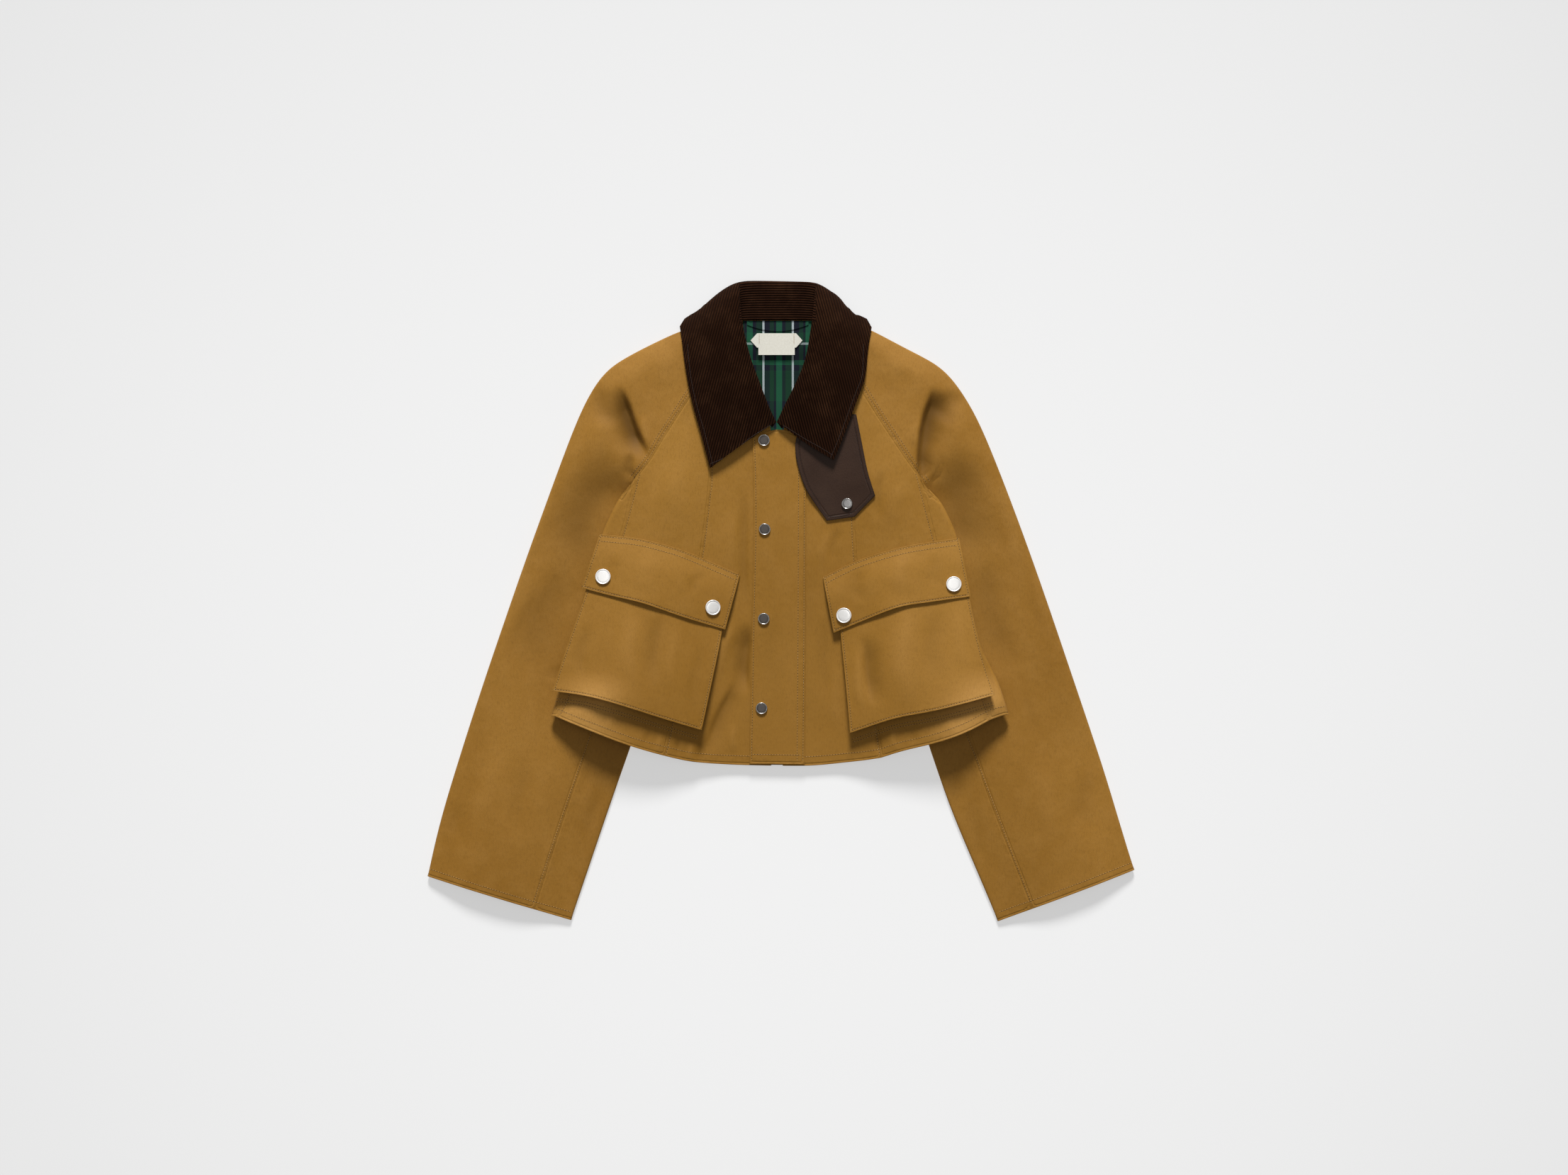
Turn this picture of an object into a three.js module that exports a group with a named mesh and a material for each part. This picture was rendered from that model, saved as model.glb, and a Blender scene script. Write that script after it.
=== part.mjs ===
// Cropped raglan jacket of waxed cotton, laid flat on its back with the sleeves under the body sides.
// Millimetres. X runs across the jacket, Y from hem to collar, Z up from the surface it lies on.
// Left and right are those of the view from above.
import * as THREE from "three";

// Driving dimensions
const CLOTH = 1.6;
const CORDUROY = 3;
const LEATHER = 2.2;
const LINING = 1;
const LABEL = 0.8;
const SEAM_GAP = 0.3;
const LAYER_GAP = 0.7;
const PLACKET_SNAP = 14.5;
const TAB_SNAP = 13.5;
const FLAP_SNAP = 19;
const SNAP_RISE = 0.2;

// How many steps each kind of wall has
const BODY_ROWS = 14;
const SLEEVE_ROWS = 21;
const UNDERARM_ROW = 9;
const FOLD_STEPS = 4;

// Heights of the lying cloth
const SIDE_RAMP = 30;
const OUTER_FOLD_HEIGHT = 8;
const INNER_FOLD_HEIGHT = 5;
const SLEEVE_SEAM_SHARE = 0.74;
const FLAT_HALF_WIDTH = 55;
const ARCH_PEAK = 0.6;
const ARCH_DROP = 0.3;
const ARMHOLE_FADE_TOP = 190;
const ARMHOLE_FADE_BOTTOM = 150;
const SLEEVE_DROP_TOP = 162;
const SLEEVE_DROP_BOTTOM = 134;
const UNDERARM_BOTTOM = 118;
const UNDERARM_SPARE = 1.6;
const UNDERARM_POINT = 3;

// Columns: outer edge x, y and inner edge x, y of each sleeve section, from the neck to the cuff.
// The inner edge is the raglan seam down to the underarm, the seventh row, and the inner fold after it.
const LEFT_SLEEVE = [
  [-54, 349, -54, 334],
  [-90, 344, -84, 296],
  [-123, 337, -112.5, 257],
  [-163, 318.5, -131, 228],
  [-197.8, 300.3, -147.9, 201.7],
  [-222, 281, -163.2, 175.3],
  [-243, 247, -187.3, 146.6],
  [-263, 200, -181, 115],
  [-290, 127, -172, 75],
  [-316, 55, -161, 10],
  [-342, -20, -150, -65],
  [-372, -108, -177, -152],
  [-403, -205, -212, -252],
  [-425, -279, -240, -335],
  [-438.2, -340, -260.3, -394.6],
];
const RIGHT_SLEEVE = [
  [46, 349, 46, 334],
  [80, 345, 75, 297],
  [106.7, 339.9, 99.6, 264.2],
  [146, 319, 121, 230],
  [184, 300, 139.2, 202.6],
  [209, 281, 156, 177],
  [234, 245, 184, 141.2],
  [256, 200, 178, 112],
  [287, 121, 170, 72],
  [313, 50, 160, 8],
  [338, -22, 148, -65],
  [366, -105, 175, -152],
  [399.7, -204.9, 208, -252],
  [421.7, -278.8, 243, -334],
  [438.2, -332.1, 268.9, -396.1],
];

// Columns: x, y down each body line
const LEFT_SIDE_FOLD = [
  [-187.3, 146.6],
  [-204.5, 126.9],
  [-214.6, 101.6],
  [-223.7, 82.5],
  [-241.8, 16.9],
  [-262, -53.5],
  [-277, -113.1],
  [-284.1, -140.9],
];
const RIGHT_SIDE_FOLD = [
  [184, 141.2],
  [201.7, 123.4],
  [209.6, 104],
  [219.9, 78.5],
  [233.8, 6.3],
  [249.2, -57.9],
  [267.7, -93.5],
  [281.5, -139.1],
];
const LEFT_SIDE_SEAM = [
  [-175.8, 159],
  [-196.4, 82],
  [-230, -20],
  [-264, -117.4],
  [-276, -142],
];
const RIGHT_SIDE_SEAM = [
  [168, 160],
  [189.4, 77.2],
  [220, -30],
  [250.1, -120.7],
  [258, -145],
];
const LEFT_PRINCESS = [
  [-87.8, 291],
  [-86.9, 163],
  [-89.6, 127.8],
  [-98.7, 56.1],
  [-120, -60],
  [-136.7, -157.1],
  [-144.1, -189.9],
];
const RIGHT_PRINCESS = [
  [84, 286],
  [86, 175],
  [89.1, 101.8],
  [91.7, 51.2],
  [104, -60],
  [124, -192.5],
];
const LEFT_BACK_SEAM = [
  [-128, 233],
  [-126, 150],
  [-124, 40],
  [-122, -80],
  [-124, -194.5],
];
const RIGHT_BACK_SEAM = [
  [118, 235],
  [122, 150],
  [122, 40],
  [120, -80],
  [122, -192.5],
];
const HEM = [
  [-284.1, -140.9],
  [-239.5, -158.2],
  [-188.4, -177.3],
  [-145.3, -189.5],
  [-104.9, -198.4],
  [-40.3, -202.2],
  [29.2, -203.1],
  [82, -198.7],
  [121.6, -193.4],
  [148, -184.6],
  [192, -173.6],
  [230.7, -159.5],
  [260.4, -144],
  [281.5, -139.1],
];
const LEFT_NECKLINE = [
  [-54, 333],
  [-50, 318],
  [-42, 294],
  [-32, 268],
  [-21, 242],
  [-12, 216],
];
const RIGHT_NECKLINE = [
  [46, 333],
  [43, 318],
  [35, 294],
  [24, 268],
  [13, 242],
  [2, 214],
];

// Columns: y, height of the front at its middle, extra height of the arch towards each side
const FRONT_HEIGHTS = [
  [-205, 8, 27],
  [-140, 8.5, 25],
  [-60, 9.5, 20],
  [0, 11, 15.5],
  [78, 12.3, 10.5],
  [146, 13.2, 10],
  [200, 14, 6],
  [260, 15, 2.5],
  [349, 14, 0],
];
// Columns: y, height of the sleeve's front along its middle
const SLEEVE_HEIGHTS = [
  [-400, 17],
  [-250, 17],
  [-140, 13],
  [-60, 11],
  [60, 11],
  [130, 13],
  [200, 17],
  [300, 15],
  [349, 12],
];
// Columns: start x, y, end x, y, half width, height. These are the largest folds of fronts and sleeves.
const BODY_FOLDS = [
  [-60, 60, -104, -200, 15, -2.4],
  [-70, -20, -112, -160, 9, 1.8],
  [60, 20, 78, -150, 12, -2],
  [-150, 150, -110, 90, 16, 1.2],
  [140, 160, 120, 90, 16, 1.2],
  [-60, 150, -55, 20, 14, 1.2],
  [48, 90, 58, -60, 10, 1.2],
];
const SLEEVE_FOLDS = [
  [-202, 250, -168, 186, 9, -3.6],
  [-222, 236, -186, 164, 12, 2.4],
  [-250, 190, -205, 130, 16, -2],
  [187, 242, 172, 175, 9, -3.6],
  [206, 232, 186, 160, 12, 2.4],
  [240, 180, 205, 122, 16, -2],
  [-290, 60, -350, -150, 22, 1.6],
  [-330, -100, -390, -300, 18, -1.5],
  [286, 60, 345, -150, 22, 1.6],
  [326, -100, 385, -300, 18, -1.5],
];

// Small helpers for numbers and curves
const mix = (a, b, t) => a + (b - a) * t;
const clamp = (t) => Math.min(1, Math.max(0, t));
const smooth = (t) => clamp(t) ** 2 * (3 - 2 * clamp(t));

// A smooth value read off a table: rows sorted by their key, straight on past both ends
function fitted(rows, key, value) {
  const sorted = [...rows].sort((a, b) => a[key] - b[key]);
  const keys = sorted.map((row) => row[key]);
  const values = sorted.map((row) => row[value]);
  const steps = keys.slice(1).map((k, i) => (values[i + 1] - values[i]) / (k - keys[i]));
  const slopes = keys.map((k, i) => {
    const before = steps[Math.max(i - 1, 0)];
    const after = steps[Math.min(i, steps.length - 1)];
    return before * after <= 0 ? 0 : (2 * before * after) / (before + after);
  });
  return (at) => {
    const last = keys.length - 1;
    if (at <= keys[0]) return values[0] + (at - keys[0]) * steps[0];
    if (at >= keys[last]) return values[last] + (at - keys[last]) * steps[last - 1];
    const i = keys.findIndex((k, n) => n < last && at < keys[n + 1]);
    const width = keys[i + 1] - keys[i];
    const t = (at - keys[i]) / width;
    const ease = t * t * (3 - 2 * t);
    const rise = t * (1 - t) * (1 - t) * width * slopes[i];
    const fall = t * t * (1 - t) * width * slopes[i + 1];
    return mix(values[i], values[i + 1], ease) + rise - fall;
  };
}

const flatCurve = (rows) => new THREE.SplineCurve(rows.map(([x, y]) => new THREE.Vector2(x, y)));

// The part of a curve between two of its x values, as a function of 0 to 1
function between(rows, fromX, toX) {
  const y = fitted(rows, 0, 1);
  return (t) => [mix(fromX, toX, t), y(mix(fromX, toX, t))];
}
function alongCurve(rows) {
  const curve = flatCurve(rows);
  return (t) => curve.getPointAt(clamp(t)).toArray();
}
function joined(first, second, share) {
  return (t) => (t < share ? first(t / share) : second((t - share) / (1 - share)));
}

// Height fields of the lying jacket
const constantPast = (table, column) => {
  const read = fitted(table, 0, column);
  const low = Math.min(...table.map((row) => row[0]));
  const high = Math.max(...table.map((row) => row[0]));
  return (y) => read(Math.min(high, Math.max(low, y)));
};
const frontMiddle = constantPast(FRONT_HEIGHTS, 1);
const frontArch = constantPast(FRONT_HEIGHTS, 2);
const sleeveCrown = constantPast(SLEEVE_HEIGHTS, 1);

function foldsAt(folds, x, y) {
  let height = 0;
  for (const [x0, y0, x1, y1, halfWidth, rise] of folds) {
    const length = Math.hypot(x1 - x0, y1 - y0);
    const along = ((x - x0) * (x1 - x0) + (y - y0) * (y1 - y0)) / length ** 2;
    const off = ((x - x0) * (y1 - y0) - (y - y0) * (x1 - x0)) / length / halfWidth;
    const ends = smooth(along / 0.3) * smooth((1 - along) / 0.3);
    height += rise * ends * Math.exp(-off * off);
  }
  return height;
}

function makeSide(sign, sleeve, fold, sideSeam, princess, backSeam, neckline) {
  const side = { sign, sleeve, fold, sideSeam, princess, backSeam, neckline };
  side.outerX = fitted(sleeve, 1, 0);
  side.innerX = fitted(sleeve, 3, 2);
  side.foldX = fitted(fold, 1, 0);
  side.underarm = fold[0];
  return side;
}
const LEFT = makeSide(
  -1, LEFT_SLEEVE, LEFT_SIDE_FOLD, LEFT_SIDE_SEAM, LEFT_PRINCESS, LEFT_BACK_SEAM, LEFT_NECKLINE,
);
const RIGHT = makeSide(
  1, RIGHT_SLEEVE, RIGHT_SIDE_FOLD, RIGHT_SIDE_SEAM, RIGHT_PRINCESS, RIGHT_BACK_SEAM, RIGHT_NECKLINE,
);

function frontHeight(x, y) {
  const side = x < 0 ? LEFT : RIGHT;
  const edge = Math.abs(side.foldX(Math.min(y, side.underarm[1])));
  const across = (Math.abs(x) - FLAT_HALF_WIDTH) / (edge - FLAT_HALF_WIDTH);
  const fall = 1 - ARCH_DROP * smooth((across - ARCH_PEAK) / (1 - ARCH_PEAK));
  const arch = smooth(across / ARCH_PEAK) * fall;
  return frontMiddle(y) + frontArch(y) * arch + foldsAt(BODY_FOLDS, x, y);
}

// The underside rests flat, but for the strip at the neck that lies on the collar's fall
const COLLAR_UNDER_TOP = 318;
const COLLAR_UNDER_BOTTOM = 296;
const COLLAR_UNDER_HALF = 126;
const COLLAR_UNDER_CENTRE = -5;
function restHeight(x, y) {
  const up = smooth((y - COLLAR_UNDER_BOTTOM) / (COLLAR_UNDER_TOP - COLLAR_UNDER_BOTTOM));
  const across = smooth((COLLAR_UNDER_HALF + 20 - Math.abs(x - COLLAR_UNDER_CENTRE)) / 20);
  return CLOTH / 2 + (CORDUROY + 4 * SEAM_GAP) * up * across;
}

function innerFoldHeight(side, y) {
  const share = smooth((y - SLEEVE_DROP_BOTTOM) / (SLEEVE_DROP_TOP - SLEEVE_DROP_BOTTOM));
  return mix(INNER_FOLD_HEIGHT, frontHeight(side.innerX(y), y), share);
}
function sleeveShare(side, x, y) {
  const outer = side.outerX(y);
  const inner = y > side.sleeve[0][3] ? side.sleeve[0][2] : side.innerX(y);
  return clamp((x - outer) / (inner - outer || side.sign));
}
function sleeveHeight(side, x, y) {
  const share = sleeveShare(side, x, y);
  const crown = mix(OUTER_FOLD_HEIGHT, sleeveCrown(y), smooth(share / 0.3));
  const creases = foldsAt(SLEEVE_FOLDS, x, y) * smooth((1 - share) / 0.15);
  return mix(crown, innerFoldHeight(side, y), smooth((share - 0.5) / 0.5)) + creases;
}
function backHeight(side, x, y) {
  const start = Math.abs(side.innerX(y)) - SIDE_RAMP;
  const onSleeve = smooth((Math.abs(x) - start) / SIDE_RAMP);
  const fade = smooth((ARMHOLE_FADE_TOP - y) / (ARMHOLE_FADE_TOP - ARMHOLE_FADE_BOTTOM));
  const spare = UNDERARM_SPARE * smooth((y - UNDERARM_BOTTOM + 20) / 30);
  const lying = sleeveHeight(side, x, y) + CLOTH + LAYER_GAP + spare;
  return mix(restHeight(x, y), lying, onSleeve * fade);
}
function sleeveRest(side, x, y) {
  const share = sleeveShare(side, x, y);
  const seamX = side.innerX(y);
  const seam = Math.min(backHeight(side, seamX, y), innerFoldHeight(side, y) - 2 * CLOTH);
  const near = smooth((share - 0.7) / 0.3) * smooth((y - UNDERARM_BOTTOM) / 30);
  return mix(restHeight(x, y), Math.max(seam, CLOTH / 2), near);
}

// A closed wall: a grid of points on its middle surface, moved out both ways along the normals
function wall(rows, columns, pointAt, thickness) {
  const grid = [];
  for (let r = 0; r <= rows; r += 1) {
    for (let c = 0; c <= columns; c += 1) {
      grid.push(new THREE.Vector3(...pointAt(c / columns, r / rows)));
    }
  }
  const index = (r, c) => r * (columns + 1) + c;
  const near = (r, c) => grid[index(Math.min(rows, Math.max(0, r)), Math.min(columns, Math.max(0, c)))];
  const outer = [];
  const inner = [];
  for (let r = 0; r <= rows; r += 1) {
    for (let c = 0; c <= columns; c += 1) {
      const across = near(r, c + 1).clone().sub(near(r, c - 1)).normalize();
      const down = near(r + 1, c).clone().sub(near(r - 1, c)).normalize();
      const normal = across.cross(down).normalize();
      outer.push(grid[index(r, c)].clone().addScaledVector(normal, thickness / 2));
      inner.push(grid[index(r, c)].clone().addScaledVector(normal, -thickness / 2));
    }
  }
  const points = [...outer, ...inner];
  const lower = outer.length;
  const faces = [];
  const quad = (a, b, c, d) => faces.push(a, b, c, a, c, d);
  for (let r = 0; r < rows; r += 1) {
    for (let c = 0; c < columns; c += 1) {
      const corners = [index(r, c), index(r + 1, c), index(r + 1, c + 1), index(r, c + 1)];
      quad(...corners);
      quad(...corners.map((corner) => corner + lower).reverse());
    }
  }
  const rim = (a, b) => quad(a, b, b + lower, a + lower);
  for (let c = 0; c < columns; c += 1) {
    rim(index(0, c), index(0, c + 1));
    rim(index(rows, c + 1), index(rows, c));
  }
  for (let r = 0; r < rows; r += 1) {
    rim(index(r + 1, 0), index(r, 0));
    rim(index(r, columns), index(r + 1, columns));
  }
  return closedGeometry(points, faces);
}

// Triangles from shared points, turned so that they enclose a positive volume
function closedGeometry(points, faces) {
  let volume = 0;
  for (let i = 0; i < faces.length; i += 3) {
    const [a, b, c] = faces.slice(i, i + 3).map((n) => points[n]);
    volume += a.dot(b.clone().cross(c));
  }
  const ordered = volume > 0 ? faces : [...faces].reverse();
  const geometry = new THREE.BufferGeometry();
  geometry.setAttribute("position", new THREE.Float32BufferAttribute(points.flatMap((p) => p.toArray()), 3));
  geometry.setIndex(ordered);
  geometry.computeVertexNormals();
  return geometry;
}

// A flat patch filled between four border curves, each a function of 0 to 1
function patch(top, bottom, start, end) {
  return (u, v) => {
    const corners = [top(0), top(1), bottom(0), bottom(1)];
    return [0, 1].map((axis) => {
      const rowsPart = mix(top(u)[axis], bottom(u)[axis], v);
      const columnsPart = mix(start(v)[axis], end(v)[axis], u);
      const upper = mix(corners[0][axis], corners[1][axis], u);
      const lower = mix(corners[2][axis], corners[3][axis], u);
      return rowsPart + columnsPart - mix(upper, lower, v);
    });
  };
}
// Draws a patch in from its borders by half a seam gap
function drawnIn(flat, gaps) {
  const small = 0.02;
  return (u, v) => {
    const [x, y] = flat(u, v);
    const [ax, ay] = flat(Math.min(1, u + small), v);
    const [bx, by] = flat(Math.max(0, u - small), v);
    const [cx, cy] = flat(u, Math.min(1, v + small));
    const [dx, dy] = flat(u, Math.max(0, v - small));
    const acrossLength = Math.hypot(ax - bx, ay - by) || 1;
    const downLength = Math.hypot(cx - dx, cy - dy) || 1;
    const across = gaps.start * (1 - u) - gaps.end * u;
    const down = gaps.top * (1 - v) - gaps.bottom * v;
    return [
      x + (across * (ax - bx)) / acrossLength + (down * (cx - dx)) / downLength,
      y + (across * (ay - by)) / acrossLength + (down * (cy - dy)) / downLength,
    ];
  };
}
const SEAM = SEAM_GAP / 2 + 0.05;
const BACK_SEAM_DRAW = 1.5;
const ALL_SEAMS = { start: SEAM, end: SEAM, top: SEAM * 1.5, bottom: 0 };

// Materials
const material = (color, roughness, metalness) =>
  new THREE.MeshStandardMaterial({ color, roughness, metalness });
const COTTON = material(0x967030, 0.72, 0);
const WALE = material(0x2a150d, 0.9, 0);
const HIDE = material(0x40241a, 0.5, 0);
const CHECK = material(0x1c3f30, 0.85, 0);
const TAPE = material(0xe3e1d3, 0.8, 0);
const DARK_METAL = material(0x6a6460, 0.35, 1);
const PALE_METAL = material(0xe8e4de, 0.25, 1);

const group = new THREE.Group();
function add(name, geometry, look) {
  const mesh = new THREE.Mesh(geometry, look);
  mesh.name = name;
  group.add(mesh);
  return mesh;
}

const sideName = (side) => (side === LEFT ? "left" : "right");

// Raglan seam of a side, from the neck down to the underarm, on the front
const raglanRows = (side) => side.sleeve.slice(0, 7).map((row) => [row[2], row[3]]);
// Where a line that runs down the front starts on the raglan seam, as a share of the seam
function raglanShareAt(side, y) {
  const curve = alongCurve(raglanRows(side));
  let share = 0;
  while (share < 1 && curve(share)[1] > y) share += 0.002;
  return share;
}
function raglanPiece(side, fromY, toY) {
  const curve = alongCurve(raglanRows(side));
  const from = raglanShareAt(side, fromY);
  const to = raglanShareAt(side, toY);
  return (t) => curve(mix(from, to, t));
}

// Front panels
function addFronts(side) {
  const princessTop = side.princess[0][1];
  const seamTop = side.sideSeam[0][1];
  const princess = alongCurve([raglanPiece(side, princessTop, princessTop)(0), ...side.princess.slice(1)]);
  const seam = alongCurve([raglanPiece(side, seamTop, seamTop)(0), ...side.sideSeam.slice(1)]);
  const neckline = alongCurve(side.neckline);
  const openingX = side.neckline.at(-1)[0];
  const openingTop = side.neckline.at(-1)[1];
  const hemY = fitted(HEM, 0, 1);
  const neckShare = 0.3;
  const toNeck = raglanPiece(side, princessTop, side.neckline[0][1] + 0.5);
  const centreTop = joined(toNeck, neckline, neckShare);
  const opening = (t) => [openingX, mix(openingTop, hemY(openingX), t)];
  const centreHem = between(HEM, princess(1)[0], openingX);
  const centre = drawnIn(patch(centreTop, centreHem, princess, opening), ALL_SEAMS);
  const onFront = (flat) => (u, v) => {
    const [x, y] = flat(u, v);
    return [x, y, frontHeight(x, y)];
  };
  add(`front_centre_${sideName(side)}`, wall(BODY_ROWS, 8, onFront(centre), CLOTH), COTTON);

  const midTop = raglanPiece(side, seamTop, princessTop);
  const midHem = between(HEM, seam(1)[0], princess(1)[0]);
  const mid = drawnIn(patch(midTop, midHem, seam, princess), ALL_SEAMS);
  add(`front_mid_${sideName(side)}`, wall(BODY_ROWS, 7, onFront(mid), CLOTH), COTTON);
  return { princess, seam };
}

// Side panel: from the front side seam out to the side fold, round it, and in over the sleeve to the back
const SIDE_DROP = 14 * SEAM;
function addSide(side, seam) {
  const frontSteps = 2;
  const backSteps = 9;
  const columns = frontSteps + FOLD_STEPS + backSteps;
  const backSeam = alongCurve(side.backSeam);
  const fold = alongCurve(side.fold);
  const backTop = raglanPiece(side, side.backSeam[0][1], side.underarm[1]);
  const backHem = between(HEM, side.backSeam.at(-1)[0], side.fold.at(-1)[0]);
  const back = patch(backTop, backHem, backSeam, fold);
  const pointAt = (u, v) => {
    const step = Math.round(u * columns);
    const [edgeX, edgeY] = fold(v);
    const high = frontHeight(edgeX, edgeY);
    const low = backHeight(side, edgeX, edgeY);
    const half = (high - low) / 2;
    const depth = Math.min(half, 5);
    const inset = (depth + CLOTH / 2) * side.sign;
    if (step <= frontSteps) {
      const [seamX, seamY] = seam(v);
      const t = step / frontSteps;
      const x = mix(seamX + SEAM * side.sign, edgeX - inset, t);
      const y = mix(seamY, edgeY, t) - SIDE_DROP * (1 - v) * t;
      return [x, y, mix(frontHeight(x, y), high, smooth((t - 0.5) / 0.5))];
    }
    if (step < frontSteps + FOLD_STEPS) {
      const angle = (Math.PI * (step - frontSteps)) / FOLD_STEPS;
      const out = Math.sin(angle) * depth * side.sign;
      return [edgeX - inset + out, edgeY - SIDE_DROP * (1 - v), low + half * (1 + Math.cos(angle))];
    }
    const t = (step - frontSteps - FOLD_STEPS) / backSteps;
    const [x, y] = back(1 - t, v);
    const drawn = x - inset * (1 - t);
    const settled = mix(low, backHeight(side, drawn, y), smooth(t * backSteps));
    const seamed = drawn + SEAM * side.sign * t;
    return [seamed, y - SIDE_DROP * (1 - v), settled];
  };
  add(`side_${sideName(side)}`, wall(BODY_ROWS, columns, pointAt, CLOTH), COTTON);
}

// Back panel, flat on the surface
function addBack() {
  const neckY = 349.2;
  const upperRows = 5;
  const armSide = (side) => {
    const raglan = raglanPiece(side, side.sleeve[0][3] + 1, side.backSeam[0][1]);
    const drawn = (t) => [raglan(t)[0] - side.sign * BACK_SEAM_DRAW, raglan(t)[1]];
    const neckEnd = [drawn(0)[0] - side.sign * BACK_SEAM_DRAW, neckY];
    const shoulder = (t) => {
      const row = t * upperRows;
      if (row >= 1) return drawn((row - 1) / (upperRows - 1));
      return [mix(neckEnd[0], drawn(0)[0], row), mix(neckEnd[1], drawn(0)[1], row)];
    };
    return joined(shoulder, alongCurve(side.backSeam), upperRows / (BODY_ROWS + upperRows));
  };
  const left = armSide(LEFT);
  const right = armSide(RIGHT);
  const top = (t) => [mix(left(0)[0], right(0)[0], t), neckY];
  const hem = between(HEM, LEFT.backSeam.at(-1)[0], RIGHT.backSeam.at(-1)[0]);
  const gaps = { start: 3 * SEAM, end: 3 * SEAM, top: SEAM, bottom: 0 };
  const flat = drawnIn(patch(top, hem, left, right), gaps);
  const pointAt = (u, v) => {
    const [x, y] = flat(u, v);
    return [x, y, restHeight(x, y)];
  };
  add("back", wall(BODY_ROWS + upperRows, 8, pointAt, CLOTH), COTTON);
}

// Sleeves: sections from the outer edge to the inner edge, from neck to cuff
function sleeveSection(side) {
  const outer = flatCurve(side.sleeve.map((row) => [row[0], row[1]]));
  const inner = flatCurve(side.sleeve.map((row) => [row[2], row[3]]));
  return (v) => {
    const a = outer.getPoint(v);
    const b = inner.getPoint(v);
    const width = a.distanceTo(b);
    return { width, at: (distance) => a.clone().lerp(b, distance / width).toArray() };
  };
}
const UNDERARM_SHARE = UNDERARM_ROW / SLEEVE_ROWS;
function seamShare(v) {
  return mix(0.985, SLEEVE_SEAM_SHARE, smooth((v - UNDERARM_SHARE) / 0.3));
}

// One point on a sleeve's section: on the front, round a fold, or on the back
function foldedPoint(side, section, run, fromInner) {
  const high = ([x, y]) => sleeveHeight(side, x, y);
  const low = ([x, y]) => sleeveRest(side, x, y);
  const reach = fromInner ? section.width : 0;
  const inward = fromInner ? -1 : 1;
  const edge = section.at(reach);
  const half = (high(edge) - low(edge)) / 2;
  const depth = Math.min(half, 4, section.width / 4);
  const start = reach + inward * (depth + CLOTH / 2);
  if (run.kind === "fold") {
    const place = section.at(start - inward * depth * Math.sin(run.angle));
    return [...place, low(edge) + half * (1 + Math.cos(run.angle))];
  }
  const distance = mix(start, run.to, run.t);
  const place = section.at(distance);
  const blend = smooth(Math.abs(distance - start) / 6);
  const own = run.kind === "front" ? high : low;
  return [...place, mix(own(edge), own(place), blend)];
}

function addSleeve(side) {
  const section = sleeveSection(side);
  const upperFront = 6;
  const upperBack = 4;
  const upperColumns = upperFront + FOLD_STEPS + upperBack;
  const upper = (u, v) => {
    const step = Math.round(u * upperColumns);
    const here = section(v);
    const row = Math.round(v * SLEEVE_ROWS);
    const atUnderarm = here.width - UNDERARM_POINT - 15 * SEAM;
    const below = row === UNDERARM_ROW ? atUnderarm : here.width * seamShare(v) - SEAM;
    const to = row < UNDERARM_ROW ? here.width - SEAM * 2 : below;
    if (step <= upperFront) {
      return foldedPoint(side, here, { kind: "front", t: 1 - step / upperFront, to }, false);
    }
    if (step < upperFront + FOLD_STEPS) {
      const angle = (Math.PI * (step - upperFront)) / FOLD_STEPS;
      return foldedPoint(side, here, { kind: "fold", angle }, false);
    }
    const t = (step - upperFront - FOLD_STEPS) / upperBack;
    return foldedPoint(side, here, { kind: "back", t, to }, false);
  };
  add(`sleeve_upper_${sideName(side)}`, wall(SLEEVE_ROWS, upperColumns, upper, CLOTH), COTTON);

  const underRun = 3;
  const underColumns = 2 * underRun + FOLD_STEPS;
  const underRows = SLEEVE_ROWS - UNDERARM_ROW;
  const under = (u, v) => {
    const step = Math.round(u * underColumns);
    const down = (UNDERARM_ROW + v * underRows) / SLEEVE_ROWS;
    const here = section(down);
    const to = (v === 0 ? here.width - UNDERARM_POINT : here.width * seamShare(down)) + SEAM;
    if (step <= underRun) {
      return foldedPoint(side, here, { kind: "front", t: 1 - step / underRun, to }, true);
    }
    if (step < underRun + FOLD_STEPS) {
      const angle = (Math.PI * (step - underRun)) / FOLD_STEPS;
      return foldedPoint(side, here, { kind: "fold", angle }, true);
    }
    const t = (step - underRun - FOLD_STEPS) / underRun;
    return foldedPoint(side, here, { kind: "back", t, to }, true);
  };
  add(`sleeve_under_${sideName(side)}`, wall(underRows, underColumns, under, CLOTH), COTTON);
}

// Placket over the front opening, laid on the two centre panels
const PLACKET_LEFT = [
  [-35, 203],
  [-33.5, 96],
  [-36.2, -38.5],
  [-38.9, -200.4],
];
const PLACKET_RIGHT = [
  [31, 203],
  [30.5, 96],
  [30, -38.5],
  [28.9, -201.2],
];
const OVER_FRONT = CLOTH + SEAM_GAP + 0.2;
function addPlacket() {
  const topEdge = (t) => [mix(-35, 31, t), 203 + 11 * Math.sin(Math.PI * t)];
  const bottomEdge = (t) => [mix(-38.9, 28.9, t), mix(-200.4, -201.2, t)];
  const flat = patch(topEdge, bottomEdge, alongCurve(PLACKET_LEFT), alongCurve(PLACKET_RIGHT));
  const pointAt = (u, v) => {
    const [x, y] = flat(u, v);
    return [x, y, frontHeight(x, y) + OVER_FRONT];
  };
  add("placket", wall(18, 4, pointAt, CLOTH), COTTON);
}

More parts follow.
